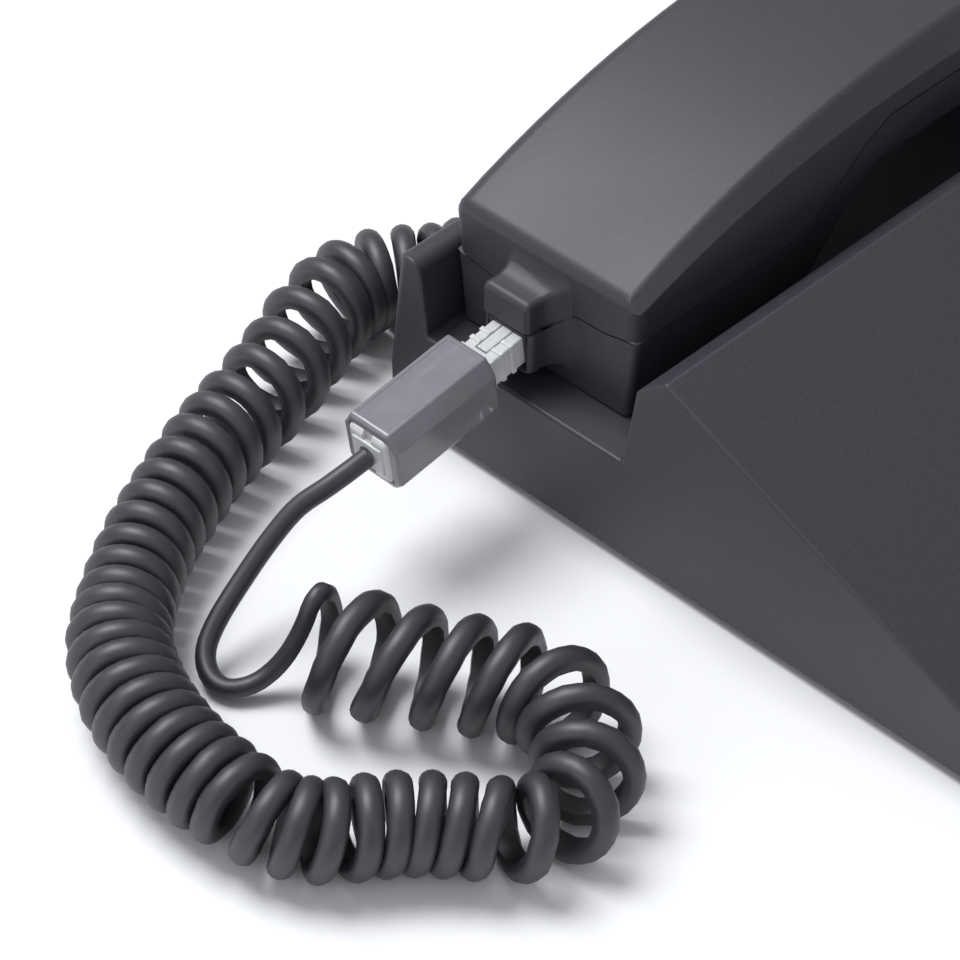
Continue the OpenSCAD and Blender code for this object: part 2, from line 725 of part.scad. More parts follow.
// An ear or mouth cap with its ring of sound holes
module cap(x, rings_of_holes) {
    color("#232428") translate([x, cap_y, 0]) difference() {
        union() {
            disc(cap_r, handset_z, handset_z + 3.2);
            ring(cap_r - 0.6, cap_r - 2, handset_z + 3.2, handset_z + 6);
        }
        for (k = [1:rings_of_holes], i = [0:6 * k - 1])
            rotate([0, 0, 60 * i / k]) translate([3.4 * k, 0, 0]) disc(0.8, 0, handset_z + 9);
        disc(0.8, 0, handset_z + 9);
        disc(cap_r - 5, handset_z + 2, handset_z + 9);
    }
}
module ear_cap() { cap(cap_x, 3); }
module mouth_cap() { cap(-cap_x, 2); }

module receiver_capsule() {
    color("#a9adb2") translate([cap_x, cap_y, 0]) {
        disc(cap_r - 3, handset_z + 3.2, handset_z + 9);
        disc(cap_r - 8.5, handset_z + 9, handset_z + 13);
    }
}
module transmitter_capsule() {
    color("#c7a869") translate([-cap_x, cap_y, 0]) {
        disc(cap_r - 3, handset_z + 3.2, handset_z + 7.4);
        disc(cap_r - 6.5, handset_z + 7.4, handset_z + 10);
    }
}

module handset_screws() {
    color("silver") for (s = [-1, 1]) translate([s * screw_at, handset_mid_y, 0]) {
        disc(1.4, under_z(screw_at) + 0.6, seam_z(screw_at) - 1);
        disc(2.9, seam_z(screw_at) - 0.95, seam_z(screw_at) + 1);
    }
}

// --- Swivel and plugs -------------------------------------------------------------------------------------------
module swivel_plug() {
    color([0.85, 0.88, 0.9, 0.6]) on_swivel() {
        box(-swivel_gap + 0.4, plug_depth, -plug_w / 2, plug_w / 2, -plug_h / 2, plug_h / 2);
        rotate([0, -90, 0]) {
            disc(stem_r, swivel_gap - 0.5, swivel_gap + 3.5);
            disc(5, swivel_gap + 2.3, swivel_gap + 3.8);
        }
    }
}

// Cross-section of the swivel's body: flat top, bevelled shoulders, rounded below
function swivel_section(w) = let (h = w / 2, b = w * 0.14)
    [[-h + b, -h], [h - b, -h], [h, -h + b], [h, h - 2 * b], [h - 1.2 * b, h], [-h + 1.2 * b, h], [-h, h - 2 * b], [-h, -h + b]];
module swivel_body() {
    color([0.3, 0.3, 0.33, 0.7]) on_swivel() difference() {
        translate([-swivel_end, 0, 0]) rotate([90, 0, 90]) linear_extrude(swivel_l)
            polygon(rounded(swivel_section(swivel_w), [1, 1, 1, 0.5, 0.5, 0.5, 0.5, 1], 3));
        rotate([0, -90, 0]) {
            disc(stem_r + fit, 0, swivel_gap + 5);
            disc(5 + loose, swivel_gap + 2, swivel_gap + 12);
        }
        box(-swivel_end - 1, -swivel_gap - 13, -plug_w / 2 - 0.1, plug_w / 2 + 0.1, -plug_h / 2 - 0.1, plug_h / 2 + 0.1);
    }
}

module swivel_contacts() {
    color("goldenrod") on_swivel() rotate([0, -90, 0]) for (r = [1.4, 2.8, 4.2])
        ring(r, r - 0.6, swivel_gap + 4.4, swivel_gap + 11.6);
}

module cord_plug_swivel() {
    color([0.9, 0.92, 0.95, 0.6]) on_swivel() difference() {
        box(-swivel_end - 1.2, -swivel_gap - 14, -plug_w / 2, plug_w / 2, -plug_h / 2, plug_h / 2);
        rotate([0, -90, 0]) disc(cord_d / 2 + 0.05, swivel_end - 4, swivel_end + 3);
    }
}

module cord_lead() {
    color("#18181a") swept_tube(lead_points, [for (p = lead_points) cord_d / 2], 10);
}
module cord_coil() {
    color("#18181a") swept_tube([for (p = coil_points) [p[0], p[1], p[2] + 0.1]], [for (p = coil_points) p[2]], 12);
}
module cord_tail() {
    color("#18181a") swept_tube(tail_points, [for (p = tail_points) cord_d / 2], 10);
}
module cord_plug_base() {
    color([0.9, 0.92, 0.95, 0.6])
        box(jack_x - plug_w / 2, jack_x + plug_w / 2, rear_y - 11, rear_y + 4, jack_z - plug_h / 2, jack_z + plug_h / 2);
}

upper_housing();
base_plate();
feet();
housing_screws();
dial_bezel();
number_plate();
finger_stop();
dial_frame();
dial_rear_plate();
spring_cup();
return_spring();
pulse_contacts();
governor_cup();
finger_wheel();
dial_card();
card_window();
dial_shaft();
main_gear();
idler_shaft();
idler_pinion();
idler_gear();
pulse_cam();
governor_shaft();
governor_pinion();
governor_weights();
plunger_left();
plunger_right();
hook_bar();
hook_spring();
hook_contacts();
gong_rear();
gong_front();
gong_posts();
ringer_frame();
ringer_coils();
clapper();
circuit_board();
induction_coil();
capacitor();
base_cord_jack();
line_jack();
ballast_weight();
handset_upper();
handset_lower();
ear_cap();
mouth_cap();
receiver_capsule();
transmitter_capsule();
handset_jack();
handset_screws();
swivel_plug();
swivel_body();
swivel_contacts();
cord_plug_swivel();
cord_lead();
cord_coil();
cord_tail();
cord_plug_base();
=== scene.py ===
# %% [markdown]
# # A wedge-shaped desk telephone
# The telephone has a low charcoal body with a sloping front, a handset that lies across a trough at the back,
# and a curly cord that plugs into a little swivel on the handset's left end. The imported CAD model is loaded
# first and stays where it is. Pieces that need softer edges or finer detail are modelled again here in the
# same place, and the rest keep their CAD shape and get a finish.

# %% Load the frame
import math
import bmesh
import bpy
from mathutils import Matrix, Vector


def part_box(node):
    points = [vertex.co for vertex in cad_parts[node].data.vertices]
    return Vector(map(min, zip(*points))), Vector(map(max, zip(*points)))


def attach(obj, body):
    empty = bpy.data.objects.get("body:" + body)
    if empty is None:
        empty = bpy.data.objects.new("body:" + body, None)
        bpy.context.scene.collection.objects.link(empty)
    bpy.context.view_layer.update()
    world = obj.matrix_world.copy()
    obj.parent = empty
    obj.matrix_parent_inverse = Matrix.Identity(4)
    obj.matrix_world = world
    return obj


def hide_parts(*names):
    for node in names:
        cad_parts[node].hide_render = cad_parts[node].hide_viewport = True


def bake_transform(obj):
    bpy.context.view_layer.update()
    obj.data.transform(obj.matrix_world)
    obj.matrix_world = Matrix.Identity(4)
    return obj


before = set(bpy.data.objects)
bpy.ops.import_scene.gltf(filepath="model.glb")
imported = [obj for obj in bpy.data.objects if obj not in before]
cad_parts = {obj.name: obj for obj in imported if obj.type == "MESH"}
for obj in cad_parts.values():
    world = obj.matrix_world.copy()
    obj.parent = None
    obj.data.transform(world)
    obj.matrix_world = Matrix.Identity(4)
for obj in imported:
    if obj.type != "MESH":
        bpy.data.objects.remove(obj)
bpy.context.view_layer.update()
MM = 0.001

# %% [markdown]
# ## Camera
# A long lens a good way off keeps the sides of the telephone nearly parallel, as in a catalogue picture. The
# camera stands in front of the left end and looks down at about 42 degrees, so it sees the trough from its
# open end. It could be turned by three angles, but aiming its -Z axis along one direction is easier to read.

# %% Place the camera
def aim(direction):
    """The turn that points an object's -Z axis along a direction, with its Y axis as near upwards as it can be."""
    return Vector(direction).to_track_quat("-Z", "Y").to_euler()

bpy.ops.object.camera_add(location=(-0.4806, -0.3061, 0.4645), rotation=aim((0.5291, 0.5218, -0.6691)))
camera = bpy.context.object
camera.data.sensor_width = 36
camera.data.lens = 131.25
bpy.context.scene.camera = camera
print("lens", camera.data.lens, "mm on a sensor", camera.data.sensor_width, "mm wide")

# %% [markdown]
# ## Colours and nodes
# Paint charts give colours as sRGB hex values, while Blender's sockets want linear light, so one function
# turns one into the other. Another adds a node and fills its sockets with values or links, which keeps each
# finish below down to a few readable lines.

# %% Colour and node helpers
def linear(hex_colour):
    """An sRGB colour such as #2b2c30 as linear red, green, blue and alpha."""
    parts = [int(hex_colour[i:i + 2], 16) / 255 for i in (1, 3, 5)]
    return [v / 12.92 if v <= 0.04045 else ((v + 0.055) / 1.055) ** 2.4 for v in parts] + [1.0]

def fill(node, inputs):
    """Fills a node's sockets. Each gets its value, or a link if that is another node or its output."""
    for socket, value in inputs.items():
        if isinstance(value, bpy.types.Node):
            value = value.outputs[0]
        if isinstance(value, bpy.types.NodeSocket):
            node.id_data.links.new(value, node.inputs[socket])
        else:
            node.inputs[socket].default_value = value

def add_node(material, kind, inputs=None):
    """Adds a node of a kind, such as TexNoise, and fills its sockets."""
    node = material.node_tree.nodes.new("ShaderNode" + kind)
    fill(node, inputs or {})
    return node

def span(ramp, low_colour, high_colour, low=0.0, high=1.0):
    """Gives a colour ramp its two ends, as sRGB colours and places."""
    for end, place, colour in zip(ramp.color_ramp.elements, (low, high), (low_colour, high_colour)):
        end.position = place
        end.color = linear(colour)

def new_material(name):
    """An empty material, with its Object coordinates and its Principled shader already joined to the output."""
    material = bpy.data.materials.new(name)
    material.use_nodes = True
    material.node_tree.nodes.clear()
    place = add_node(material, "TexCoord").outputs["Object"]
    shader = add_node(material, "BsdfPrincipled")
    add_node(material, "OutputMaterial", {"Surface": shader})
    return material, place, shader

print("mid charcoal in linear light:", [round(v, 4) for v in linear("#2b2c30")])

# %% [markdown]
# ## Floor and light
# A plain pale sweep stands in for a studio table. One wide soft light hangs over the back left, so upward
# faces are the lightest and faces that look forwards stay dark, and a weaker one opens up the left side. A
# small or bare lamp would give hard shadows, which a studio avoids.

# %% Lay the floor
bpy.ops.object.select_all(action="DESELECT")
bpy.ops.mesh.primitive_plane_add(size=6, location=(0, 0, -0.0004))
floor = bpy.context.object
floor.name = "floor"
floor_paint, place, shader = new_material("floor_matt_white")
speckle = add_node(floor_paint, "TexNoise", {"Vector": place, "Scale": 3.0, "Detail": 2.0})
tone = add_node(floor_paint, "ValToRGB", {"Fac": speckle})
span(tone, "#f3f3f4", "#f7f7f8")
fill(shader, {"Base Color": tone, "Roughness": 0.9})
floor.data.materials.append(floor_paint)
print("floor", [round(v, 2) for v in floor.dimensions])

# %% Hang the lights
def soft_light(name, place, towards, size, power):
    """A square soft light at a place, facing a point."""
    bpy.ops.object.light_add(type="AREA", location=place, rotation=aim(Vector(towards) - Vector(place)))
    light = bpy.context.object
    light.name = name
    light.data.size = size
    light.data.energy = power
    light.data.color = (0.95, 0.965, 1.0)
    print(name, power, "W")

soft_light("top_light", (-0.25, 0.75, 1.5), (0, 0, 0), 0.9, 26)
soft_light("side_light", (-1.6, 0.1, 0.75), (0, 0, 0), 1.0, 3.6)
soft_light("front_light", (-0.2, -1.7, 1.2), (0, 0, 0), 1.2, 2)
world = bpy.data.worlds.new("studio")
bpy.context.scene.world = world
world.use_nodes = True
fill(world.node_tree.nodes["Background"], {"Color": linear("#f2f4f8"), "Strength": 0.46})
bpy.context.scene.view_settings.view_transform = "Standard"

# %% [markdown]
# ## Cord finish
# The curly cord is soft PVC, extruded over thin wires and then baked on a rod to set its curls. Extruding
# leaves the skin even and slightly waxy: a soft highlight, with faint flow lines along the cord. Those lines
# are finer than a tenth of a millimetre on the real one, and are drawn at half a millimetre so that they show
# at all.

# %% Make the cord finish
def cord_pvc():
    material, place, shader = new_material("cord_pvc")
    flow = add_node(material, "TexNoise", {"Vector": place, "Scale": 1900.0, "Detail": 3.0})
    cloud = add_node(material, "TexNoise", {"Vector": place, "Scale": 160.0, "Detail": 2.0})
    gloss = add_node(material, "MapRange", {"Value": cloud, "To Min": 0.43, "To Max": 0.56})
    tint = add_node(material, "ValToRGB", {"Fac": cloud})
    span(tint, "#262329", "#343036")
    bump = add_node(material, "Bump", {"Height": flow, "Strength": 0.1,
                                                 "Distance": 0.04 * MM})
    fill(shader, {"Base Color": tint, "Roughness": gloss,
                  "Normal": bump, "IOR": 1.53, "Specular IOR Level": 0.75})
    return material

cord_black = cord_pvc()
print("finish:", cord_black.name)

# %% [markdown]
# ## Curly cord
# A curly cord is one flattened black lead. It leaves the swivel, droops to the table, winds round and round
# an invisible rod that is itself bent into a loop, and at the far end it straightens out and goes into a
# socket at the back of the base. A curve with a bevel could do it, but a tube built ring by ring keeps the
# flat side of the lead turned towards the middle of every curl. The first bend is its own piece, apart from
# the curls that lie on the table.

# %% Write down the cord's route
lead_route = [
    (-146.6, 52.9, 29.1), (-151, 53.4, 28), (-155.5, 54.6, 26.2), (-161, 57, 23), (-167, 58, 18.5), (-174, 58, 13.5),
    (-182, 57, 8.5), (-187, 55, 5.2), (-189.5, 51, 3.2), (-189, 47, 2.6), (-185.6, 44.2, 3.1),
]
rise_route = [(-182.1, 42.6, 5), (-179.3, 41.3, 8.2), (-176.9, 40.5, 12), (-175, 40.1, 15.6), (-173.4, 40.1, 18.4)]
coil_route = [
    (-180, 42, 11.2), (-173, 31, 11.6), (-169, 23, 11.6), (-164, 15, 11.5), (-159, 7, 11.4),
    (-155, -1, 11.2), (-156, -10, 11), (-161, -18, 10.6), (-168, -23, 10.2), (-175, -23.6, 9.8),
    (-181.5, -20.2, 9.6), (-187.2, -13.2, 9.6), (-193.2, -6.2, 9.6), (-199.2, -1.2, 9.6),
    (-205.4, 3.6, 9.6), (-209.8, 11.2, 9.6), (-211.5, 22, 9.9), (-211.5, 34, 10.2), (-209.5, 45, 10.4),
    (-206, 54.5, 10.4), (-200, 64, 10.1), (-191, 72, 9.7), (-182.6, 78, 9.6), (-174.3, 82.7, 9.7),
    (-165.4, 86.6, 9.9), (-156.3, 90.4, 10.1), (-146, 93.5, 10.5), (-135.8, 96.2, 10.7),
    (-126.2, 99.1, 10.8), (-116.6, 103, 11), (-107, 106.2, 11.2), (-97.5, 107.6, 11), (-89, 104.6, 10.6),
    (-81, 99.8, 10.2), (-72, 97.2, 9.8), (-60, 96.6, 9.6), (-45, 96.8, 9.5), (-25, 98.5, 9.5), (-5, 100, 9.5),
]
tail_route = [
    (-3.5, 107.6, 5), (3, 106.6, 2.8), (12, 104.4, 2.5), (22, 105, 3), (31, 110, 3.5), (37, 113, 6), (40, 109, 9.4),
    (40, 102, 11.4), (40, 95, 11.4), (40, 88.5, 11.4),
]
# How far along the rod each turn is, in mm: the turns are open at the start, close in the middle and open again
turns_at = [(4.6, 0), (14.6, 1), (25, 2), (34.5, 3), (43.5, 4), (52, 5), (61.5, 6), (70.5, 7), (79.5, 8), (88.5, 9),
            (97, 10), (102.6, 11), (135.6, 17), (144, 18), (201, 29.1), (230.5, 34), (257, 38), (276, 40), (295.5, 42),
            (308, 44), (396, 57.16)]
# How far each turn leans along the rod, as a share of its radius
lean_at = [(0, 0.17), (60, 0.17), (97, -0.17), (150, -0.17), (190, 0), (400, 0)]

def between(table, s):
    """The value at s of a table of (position, value), on straight lines between its rows."""
    for (s0, v0), (s1, v1) in zip(table, table[1:]):
        if s <= s1:
            break
    return v0 + (v1 - v0) * (s - s0) / (s1 - s0)

def smooth_route(points, step):
    """Points every step mm along a smooth curve through the given points."""
    q = [Vector(p) for p in points]
    q = [2 * q[0] - q[1]] + q + [2 * q[-1] - q[-2]]
    fine = []
    for a, b, c, d in zip(q, q[1:], q[2:], q[3:]):
        for k in range(40):
            t = k / 40
            fine.append(0.5 * (2 * b + (c - a) * t + (2 * a - 5 * b + 4 * c - d) * t ** 2
                               + (3 * b - a - 3 * c + d) * t ** 3))
    fine.append(q[-2])
    out, want, done = [], 0.0, 0.0
    for a, b in zip(fine, fine[1:]):
        length = (b - a).length
        while length and want <= done + length:
            out.append(a.lerp(b, (want - done) / length))
            want += step
        done += length
    return out

rod = smooth_route(coil_route, 0.25)
rod_s = [0.0]
for a, b in zip(rod, rod[1:]):
    rod_s.append(rod_s[-1] + (b - a).to_2d().length)
print("the curls are wound on a rod", round(rod_s[-1]), "mm long, with", turns_at[-1][1], "turns")

# %% Wind the curls
POINTS_PER_TURN = 24
half_thick = 2.15
tilt_back = math.radians(42)

def curl_points():
    """Points along the wound part, and the outward direction of the curl at each."""
    points, outward, s, i = [], [], turns_at[0][0], 0
    while s < turns_at[-1][0]:
        while rod_s[i] < s:
            i += 1
        along = (rod[min(i + 4, len(rod) - 1)] - rod[max(i - 4, 0)]).to_2d().normalized()
        side = Vector((-along.y, along.x, 0))
        radius = rod[i].z - half_thick + 1.5 * max(0, 1 - s / 30)
        angle = 2 * math.pi * between(turns_at, s) + tilt_back
        out = math.cos(angle) * Vector((0, 0, 1)) + math.sin(angle) * side
        lean = between(lean_at, s) * radius * math.cos(angle - tilt_back)
        points.append(rod[i] + Vector((0, 0, 0.1)) + radius * out + lean * along.to_3d())
        outward.append(out)
        rate = (between(turns_at, s + 0.01) - between(turns_at, s)) / 0.01
        s += 1 / (POINTS_PER_TURN * rate)
    return points, outward

curls, curls_out = curl_points()
lead = smooth_route(lead_route + rise_route + [tuple(curls[0]), tuple(curls[2])], 1.6)
nearest = min(range(len(lead)), key=lambda i: (lead[i] - curls[0]).length)
lead = [p for p in lead[:nearest + 1] if (p - curls[0]).length > 0.9]
cut = min(range(len(lead)), key=lambda i: (lead[i] - Vector(lead_route[-1])).length)
tail = smooth_route([tuple(curls[-2]), tuple(curls[-1])] + tail_route, 1.6)[2:]
for p in lead + curls + tail:
    p.z = max(p.z, half_thick + 0.2)
whole = lead + curls + tail
print("cord points:", len(whole), "lowest centre", round(min(p.z for p in whole), 2), "mm")

# %% Carry the flat side along the cord
def carried(points, start):
    """The direction start carried along the points, kept square to them."""
    out, current = [], start
    for i, p in enumerate(points):
        along = (points[min(i + 1, len(points) - 1)] - points[max(i - 1, 0)]).normalized()
        current = (current - along * current.dot(along)).normalized()
        out.append(current)
    return out

lead_out = carried(lead[::-1], curls_out[0])[::-1]
tail_out = carried(tail, curls_out[-1])
whole_out = lead_out + curls_out + tail_out

# %% Build the tube
# Corners of the lead's cross-section, in mm: along the curl's rod, then outwards, with the flat side inwards
lead_section = [(-2.45, -0.5), (-2.05, -1.75), (-1.3, -1.95), (1.3, -1.95), (2.05, -1.75), (2.45, -0.5),
                (2.4, 0.5), (1.9, 1.4), (1, 1.95), (0, 2.15), (-1, 1.95), (-1.9, 1.4), (-2.4, 0.5)]

def rings_along(points, outward, sizes):
    """The ring of section corners at each point. The whole cord is done at once, so that its two pieces match."""
    rings = []
    for i, (p, out, size) in enumerate(zip(points, outward, sizes)):
        along = (points[min(i + 1, len(points) - 1)] - points[max(i - 1, 0)]).normalized()
        out = (out - along * out.dot(along)).normalized()
        across = along.cross(out)
        rings.append([(p + size * (x * across + y * out)) * MM for x, y in lead_section])
    return rings

def cord_tube(name, rings):
    """A closed tube through some of the rings."""
    tube = bmesh.new()
    loops = [[tube.verts.new(corner) for corner in ring] for ring in rings]
    for loop, following in zip(loops, loops[1:]):
        for k in range(len(lead_section)):
            n = (k + 1) % len(lead_section)
            tube.faces.new((loop[k], loop[n], following[n], following[k]))
    tube.faces.new(loops[0][::-1])
    tube.faces.new(loops[-1])
    bmesh.ops.recalc_face_normals(tube, faces=tube.faces)
    mesh = bpy.data.meshes.new(name)
    tube.to_mesh(mesh)
    tube.free()
    piece = bpy.data.objects.new(name, mesh)
    bpy.context.collection.objects.link(piece)
    mesh.materials.append(cord_black)
    bpy.ops.object.select_all(action="DESELECT")
    piece.select_set(True)
    bpy.context.view_layer.objects.active = piece
    bpy.ops.object.shade_smooth_by_angle(angle=math.radians(50))
    return piece

def path_length(points):
    return sum((b - a).length for a, b in zip(points, points[1:]))

# The straight ends are slimmer than the curls, because winding flattens the lead
straight_size = 0.8
swell_steps = 16
swelling = [straight_size + (1 - straight_size) * k / swell_steps for k in range(swell_steps)]
full = [1.0] * (len(curls) - 2 * swell_steps)
sizes = [straight_size] * len(lead) + swelling + full + swelling[::-1] + [straight_size] * len(tail)
rings = rings_along(whole, whole_out, sizes)
lead_piece = cord_tube("handset_cord_lead", rings[:cut + 1])
curls_piece = cord_tube("handset_cord_curls", rings[cut:])
for piece, part in ((lead_piece, whole[:cut + 1]), (curls_piece, whole[cut:])):
    print(piece.name, "is", round(path_length(part)), "mm long,", len(piece.data.polygons), "faces")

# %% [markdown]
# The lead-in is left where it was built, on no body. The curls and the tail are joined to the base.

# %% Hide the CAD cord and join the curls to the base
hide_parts("cord_lead")
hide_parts("cord_coil", "cord_tail")
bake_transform(lead_piece)
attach(curls_piece, "base")

# %% [markdown]
# ## Moulded charcoal plastic
# The housing and the handset are ABS, injection moulded in a tool that was spark eroded to a fine matt grain.
# The grain breaks the highlight up into a soft sheen with a faint sparkle. Real grain is about 0.15 mm
# across; here it is 0.35 mm, so that it shows from this far away. A slower variation in gloss stands for
# handling.

# %% Make the moulded plastics
def moulded(name, dark, light, roughness, grain_mm, depth_mm):
    """Moulded plastic with a spark-eroded grain of a given size and depth."""
    material, place, shader = new_material(name)
    grain = add_node(material, "TexNoise", {"Vector": place, "Scale": 1 / (grain_mm * MM), "Detail": 2.0})
    wear = add_node(material, "TexNoise", {"Vector": place, "Scale": 28.0, "Detail": 4.0})
    tint = add_node(material, "ValToRGB", {"Fac": grain})
    span(tint, dark, light, 0.3, 0.7)
    gloss = add_node(material, "MapRange", {"Value": wear, "To Min": roughness - 0.05,
                                                      "To Max": roughness + 0.05})
    bump = add_node(material, "Bump", {"Height": grain, "Strength": 0.35,
                                                 "Distance": depth_mm * MM})
    fill(shader, {"Base Color": tint, "Roughness": gloss,
                  "Normal": bump, "IOR": 1.53})
    return material

charcoal_abs = moulded("charcoal_abs_fine_grain", "#2d2c33", "#3a3941", 0.5, 0.35, 0.05)
black_abs = moulded("black_abs_glossy", "#0f0f11", "#141416", 0.22, 0.6, 0.006)
print("finishes:", charcoal_abs.name, black_abs.name)

# %% [markdown]
# ## Housing
# The body is one moulding: a wedge with a trough across the back. It is easiest to see as its side outline
# drawn out along its width, so the outline is drawn by extruding one corner after another, filled, and
# extruded once. Each long edge then gets the radius its mould has, through bevel weights, because one bevel
# that knows all the radii makes cleaner corners than many bevels after each other.

# %% Drawing and rounding helpers
WIDEST_BEVEL = 10 * MM

def mm(x, y, z):
    return Vector((x, y, z)) * MM

def fresh():
    """Back to object mode with nothing selected, so that the next operator acts only on what it adds."""
    if bpy.context.mode != "OBJECT":
        bpy.ops.object.mode_set(mode="OBJECT")
    bpy.ops.object.select_all(action="DESELECT")

def draw(name, corners):
    """Starts a piece in edit mode as a flat face, drawn by extruding a corner from point to point."""
    fresh()
    bpy.ops.mesh.primitive_plane_add(size=MM, location=corners[0])
    piece = bpy.context.object
    piece.name = name
    bpy.ops.object.transform_apply(location=True)
    bpy.ops.object.mode_set(mode="EDIT")
    bpy.ops.mesh.select_mode(type="VERT")
    bpy.ops.mesh.merge(type="CENTER")
    for a, b in zip(corners, corners[1:]):
        bpy.ops.mesh.extrude_region_move(TRANSFORM_OT_translate={"value": b - a})
    bpy.ops.mesh.select_all(action="SELECT")
    bpy.ops.mesh.edge_face_add()
    return piece

def pull(offset):
    """Extrudes what is selected by an offset."""
    bpy.ops.mesh.extrude_region_move(TRANSFORM_OT_translate={"value": offset})

def pick(kind, test):
    """Selects the vertices, edges or faces of the piece being edited whose middle, in mm, passes the test."""
    bpy.ops.mesh.select_mode(type=kind)
    bpy.ops.mesh.select_all(action="DESELECT")
    shape = bmesh.from_edit_mesh(bpy.context.object.data)
    items = {"VERT": shape.verts, "EDGE": shape.edges, "FACE": shape.faces}[kind]
    for item in items:
        middle = (item.co if kind == "VERT" else
                  sum((v.co for v in item.verts), Vector()) / len(item.verts)) / MM
        if test(middle, item):
            item.select_set(True)
    bmesh.update_edit_mesh(bpy.context.object.data)

def shift(offset, test):
    """Moves the points that pass the test by an offset in mm."""
    pick("VERT", test)
    bpy.ops.transform.translate(value=mm(*offset))

def round_edges(radius, test):
    """Gives the picked edges the bevel weight of a radius in mm, at the angle that their faces meet."""
    shape = bmesh.from_edit_mesh(bpy.context.object.data)
    def bend(edge):
        return round(math.degrees(edge.calc_face_angle(0)) / 6)
    pick("EDGE", lambda middle, edge: len(edge.link_faces) == 2 and test(middle, edge))
    for degree in sorted({bend(edge) for edge in shape.edges if edge.select and len(edge.link_faces) == 2}):
        pick("EDGE", lambda middle, edge: len(edge.link_faces) == 2 and test(middle, edge)
             and bend(edge) == degree)
        bpy.ops.transform.edge_bevelweight(value=radius * MM * math.tan(math.radians(degree * 3)) / WIDEST_BEVEL)

def modify(piece, kind, **settings):
    """Adds a modifier with its settings and applies it."""
    bpy.ops.object.mode_set(mode="OBJECT")
    bpy.context.view_layer.objects.active = piece
    bpy.ops.object.modifier_add(type=kind)
    modifier = piece.modifiers[-1]
    for name, value in settings.items():
        setattr(modifier, name, value)
    bpy.ops.object.modifier_apply(modifier=modifier.name)

def bevel_by_weight(piece, segments=4):
    modify(piece, "BEVEL", limit_method="WEIGHT", width=WIDEST_BEVEL, segments=segments)

def alone(piece, edit=False):
    """Leaves edit mode with only this piece selected, or enters it with all of the piece selected."""
    fresh()
    piece.select_set(True)
    bpy.context.view_layer.objects.active = piece
    if edit:
        bpy.ops.object.mode_set(mode="EDIT")
        bpy.ops.mesh.select_all(action="SELECT")

def combine(piece, tool, how):
    """Cuts a tool's shape out of the piece, or joins it on, and removes the tool."""
    for solid in (tool, piece):
        alone(solid, edit=True)
        bpy.ops.mesh.normals_make_consistent(inside=False)
    fresh()
    modify(piece, "BOOLEAN", operation=how, object=tool, solver="EXACT")
    bpy.data.objects.remove(tool)

def carve(piece, *tools):
    """Cuts the shapes of tools out of the piece, one after another."""
    for tool in tools:
        combine(piece, tool, "DIFFERENCE")

def complete(piece, material, body, slot, *nodes):
    """Places a finished piece: normals, smooth shading, finish, body and the CAD nodes that it stands for."""
    alone(piece)
    bpy.ops.object.transform_apply(location=True, rotation=True, scale=True)
    alone(piece, edit=True)
    bpy.ops.mesh.remove_doubles(threshold=0.002 * MM)
    bpy.ops.mesh.normals_make_consistent(inside=False)
    alone(piece)
    bpy.ops.object.shade_smooth_by_angle(angle=math.radians(32))
    modify(piece, "WEIGHTED_NORMAL", keep_sharp=True)
    piece.data.materials.clear()
    piece.data.materials.append(material)
    if nodes:
        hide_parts(*nodes)
    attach(piece, body)
    low, high = (Vector(c) / MM for c in (piece.bound_box[0], piece.bound_box[6]))
    print(piece.name, "on", body, [round(v, 1) for v in low], [round(v, 1) for v in high],
          len(piece.data.polygons))

# %% Round and box tools for cutting
def rod_tool(name, place, radius, depth, direction=(0, 0, 1), mouth=0.0, sides=64):
    """A round cutter from a place along a direction. A mouth widens its first end into a small chamfer."""
    fresh()
    bpy.ops.mesh.primitive_cylinder_add(vertices=sides, radius=radius * MM, depth=depth * MM,
                                        location=(0, 0, depth / 2 * MM))
    tool = bpy.context.object
    tool.name = name
    bpy.ops.object.transform_apply(location=True)
    if mouth:
        bpy.ops.object.mode_set(mode="EDIT")
        pick("FACE", lambda m, f: m.z < 0.01)
        bpy.ops.transform.translate(value=mm(0, 0, mouth))
        pull(mm(0, 0, -mouth))
        spread = (radius + mouth) / radius
        bpy.ops.transform.resize(value=(spread, spread, 1))
        pull(mm(0, 0, -3))
        bpy.ops.object.mode_set(mode="OBJECT")
    tool.matrix_world = Matrix.Translation(mm(*place)) @ Vector((0, 0, 1)).rotation_difference(
        Vector(direction)).to_matrix().to_4x4()
    bpy.ops.object.transform_apply(location=True, rotation=True)
    return tool

def box_tool(name, low, high, bevel=0.0):
    """A box between two corners, with softened edges if bevel is given."""
    fresh()
    low, high = mm(*low), mm(*high)
    bpy.ops.mesh.primitive_cube_add(size=1, location=(low + high) / 2, scale=high - low)
    tool = bpy.context.object
    tool.name = name
    bpy.ops.object.transform_apply(location=True, scale=True)
    if bevel:
        alone(tool, edit=True)
        bpy.ops.mesh.bevel(offset=bevel * MM, segments=3, affect="EDGES")
        alone(tool)
    return tool

# %% Draw the housing's side outline and pull it out
# (y, z) of each corner and its radius, in mm, from the front foot round to the front lip
side_outline = [
    (-84.5, 2.1, 0), (84.5, 2.1, 1), (84.5, 15, 6), (81.2, 42.4, 2.6), (75.2, 42.4, 2.6), (73.2, 25.2, 1),
    (21, 25.2, 1.4), (18.1, 44.4, 1.5), (11, 50.4, 0.9), (-80.5, 9, 3), (-84.5, 5.5, 2),
]
half_w = 111
housing = draw("housing", [mm(-half_w, y, z) for y, z, r in side_outline])
pull(mm(2 * half_w, 0, 0))
for y, z, r in side_outline:
    if r:
        round_edges(r, lambda m, e: abs(m.x) < 1 and abs(m.y - y) < 0.1 and abs(m.z - z) < 0.1)
print("side outline:", len(side_outline), "corners")

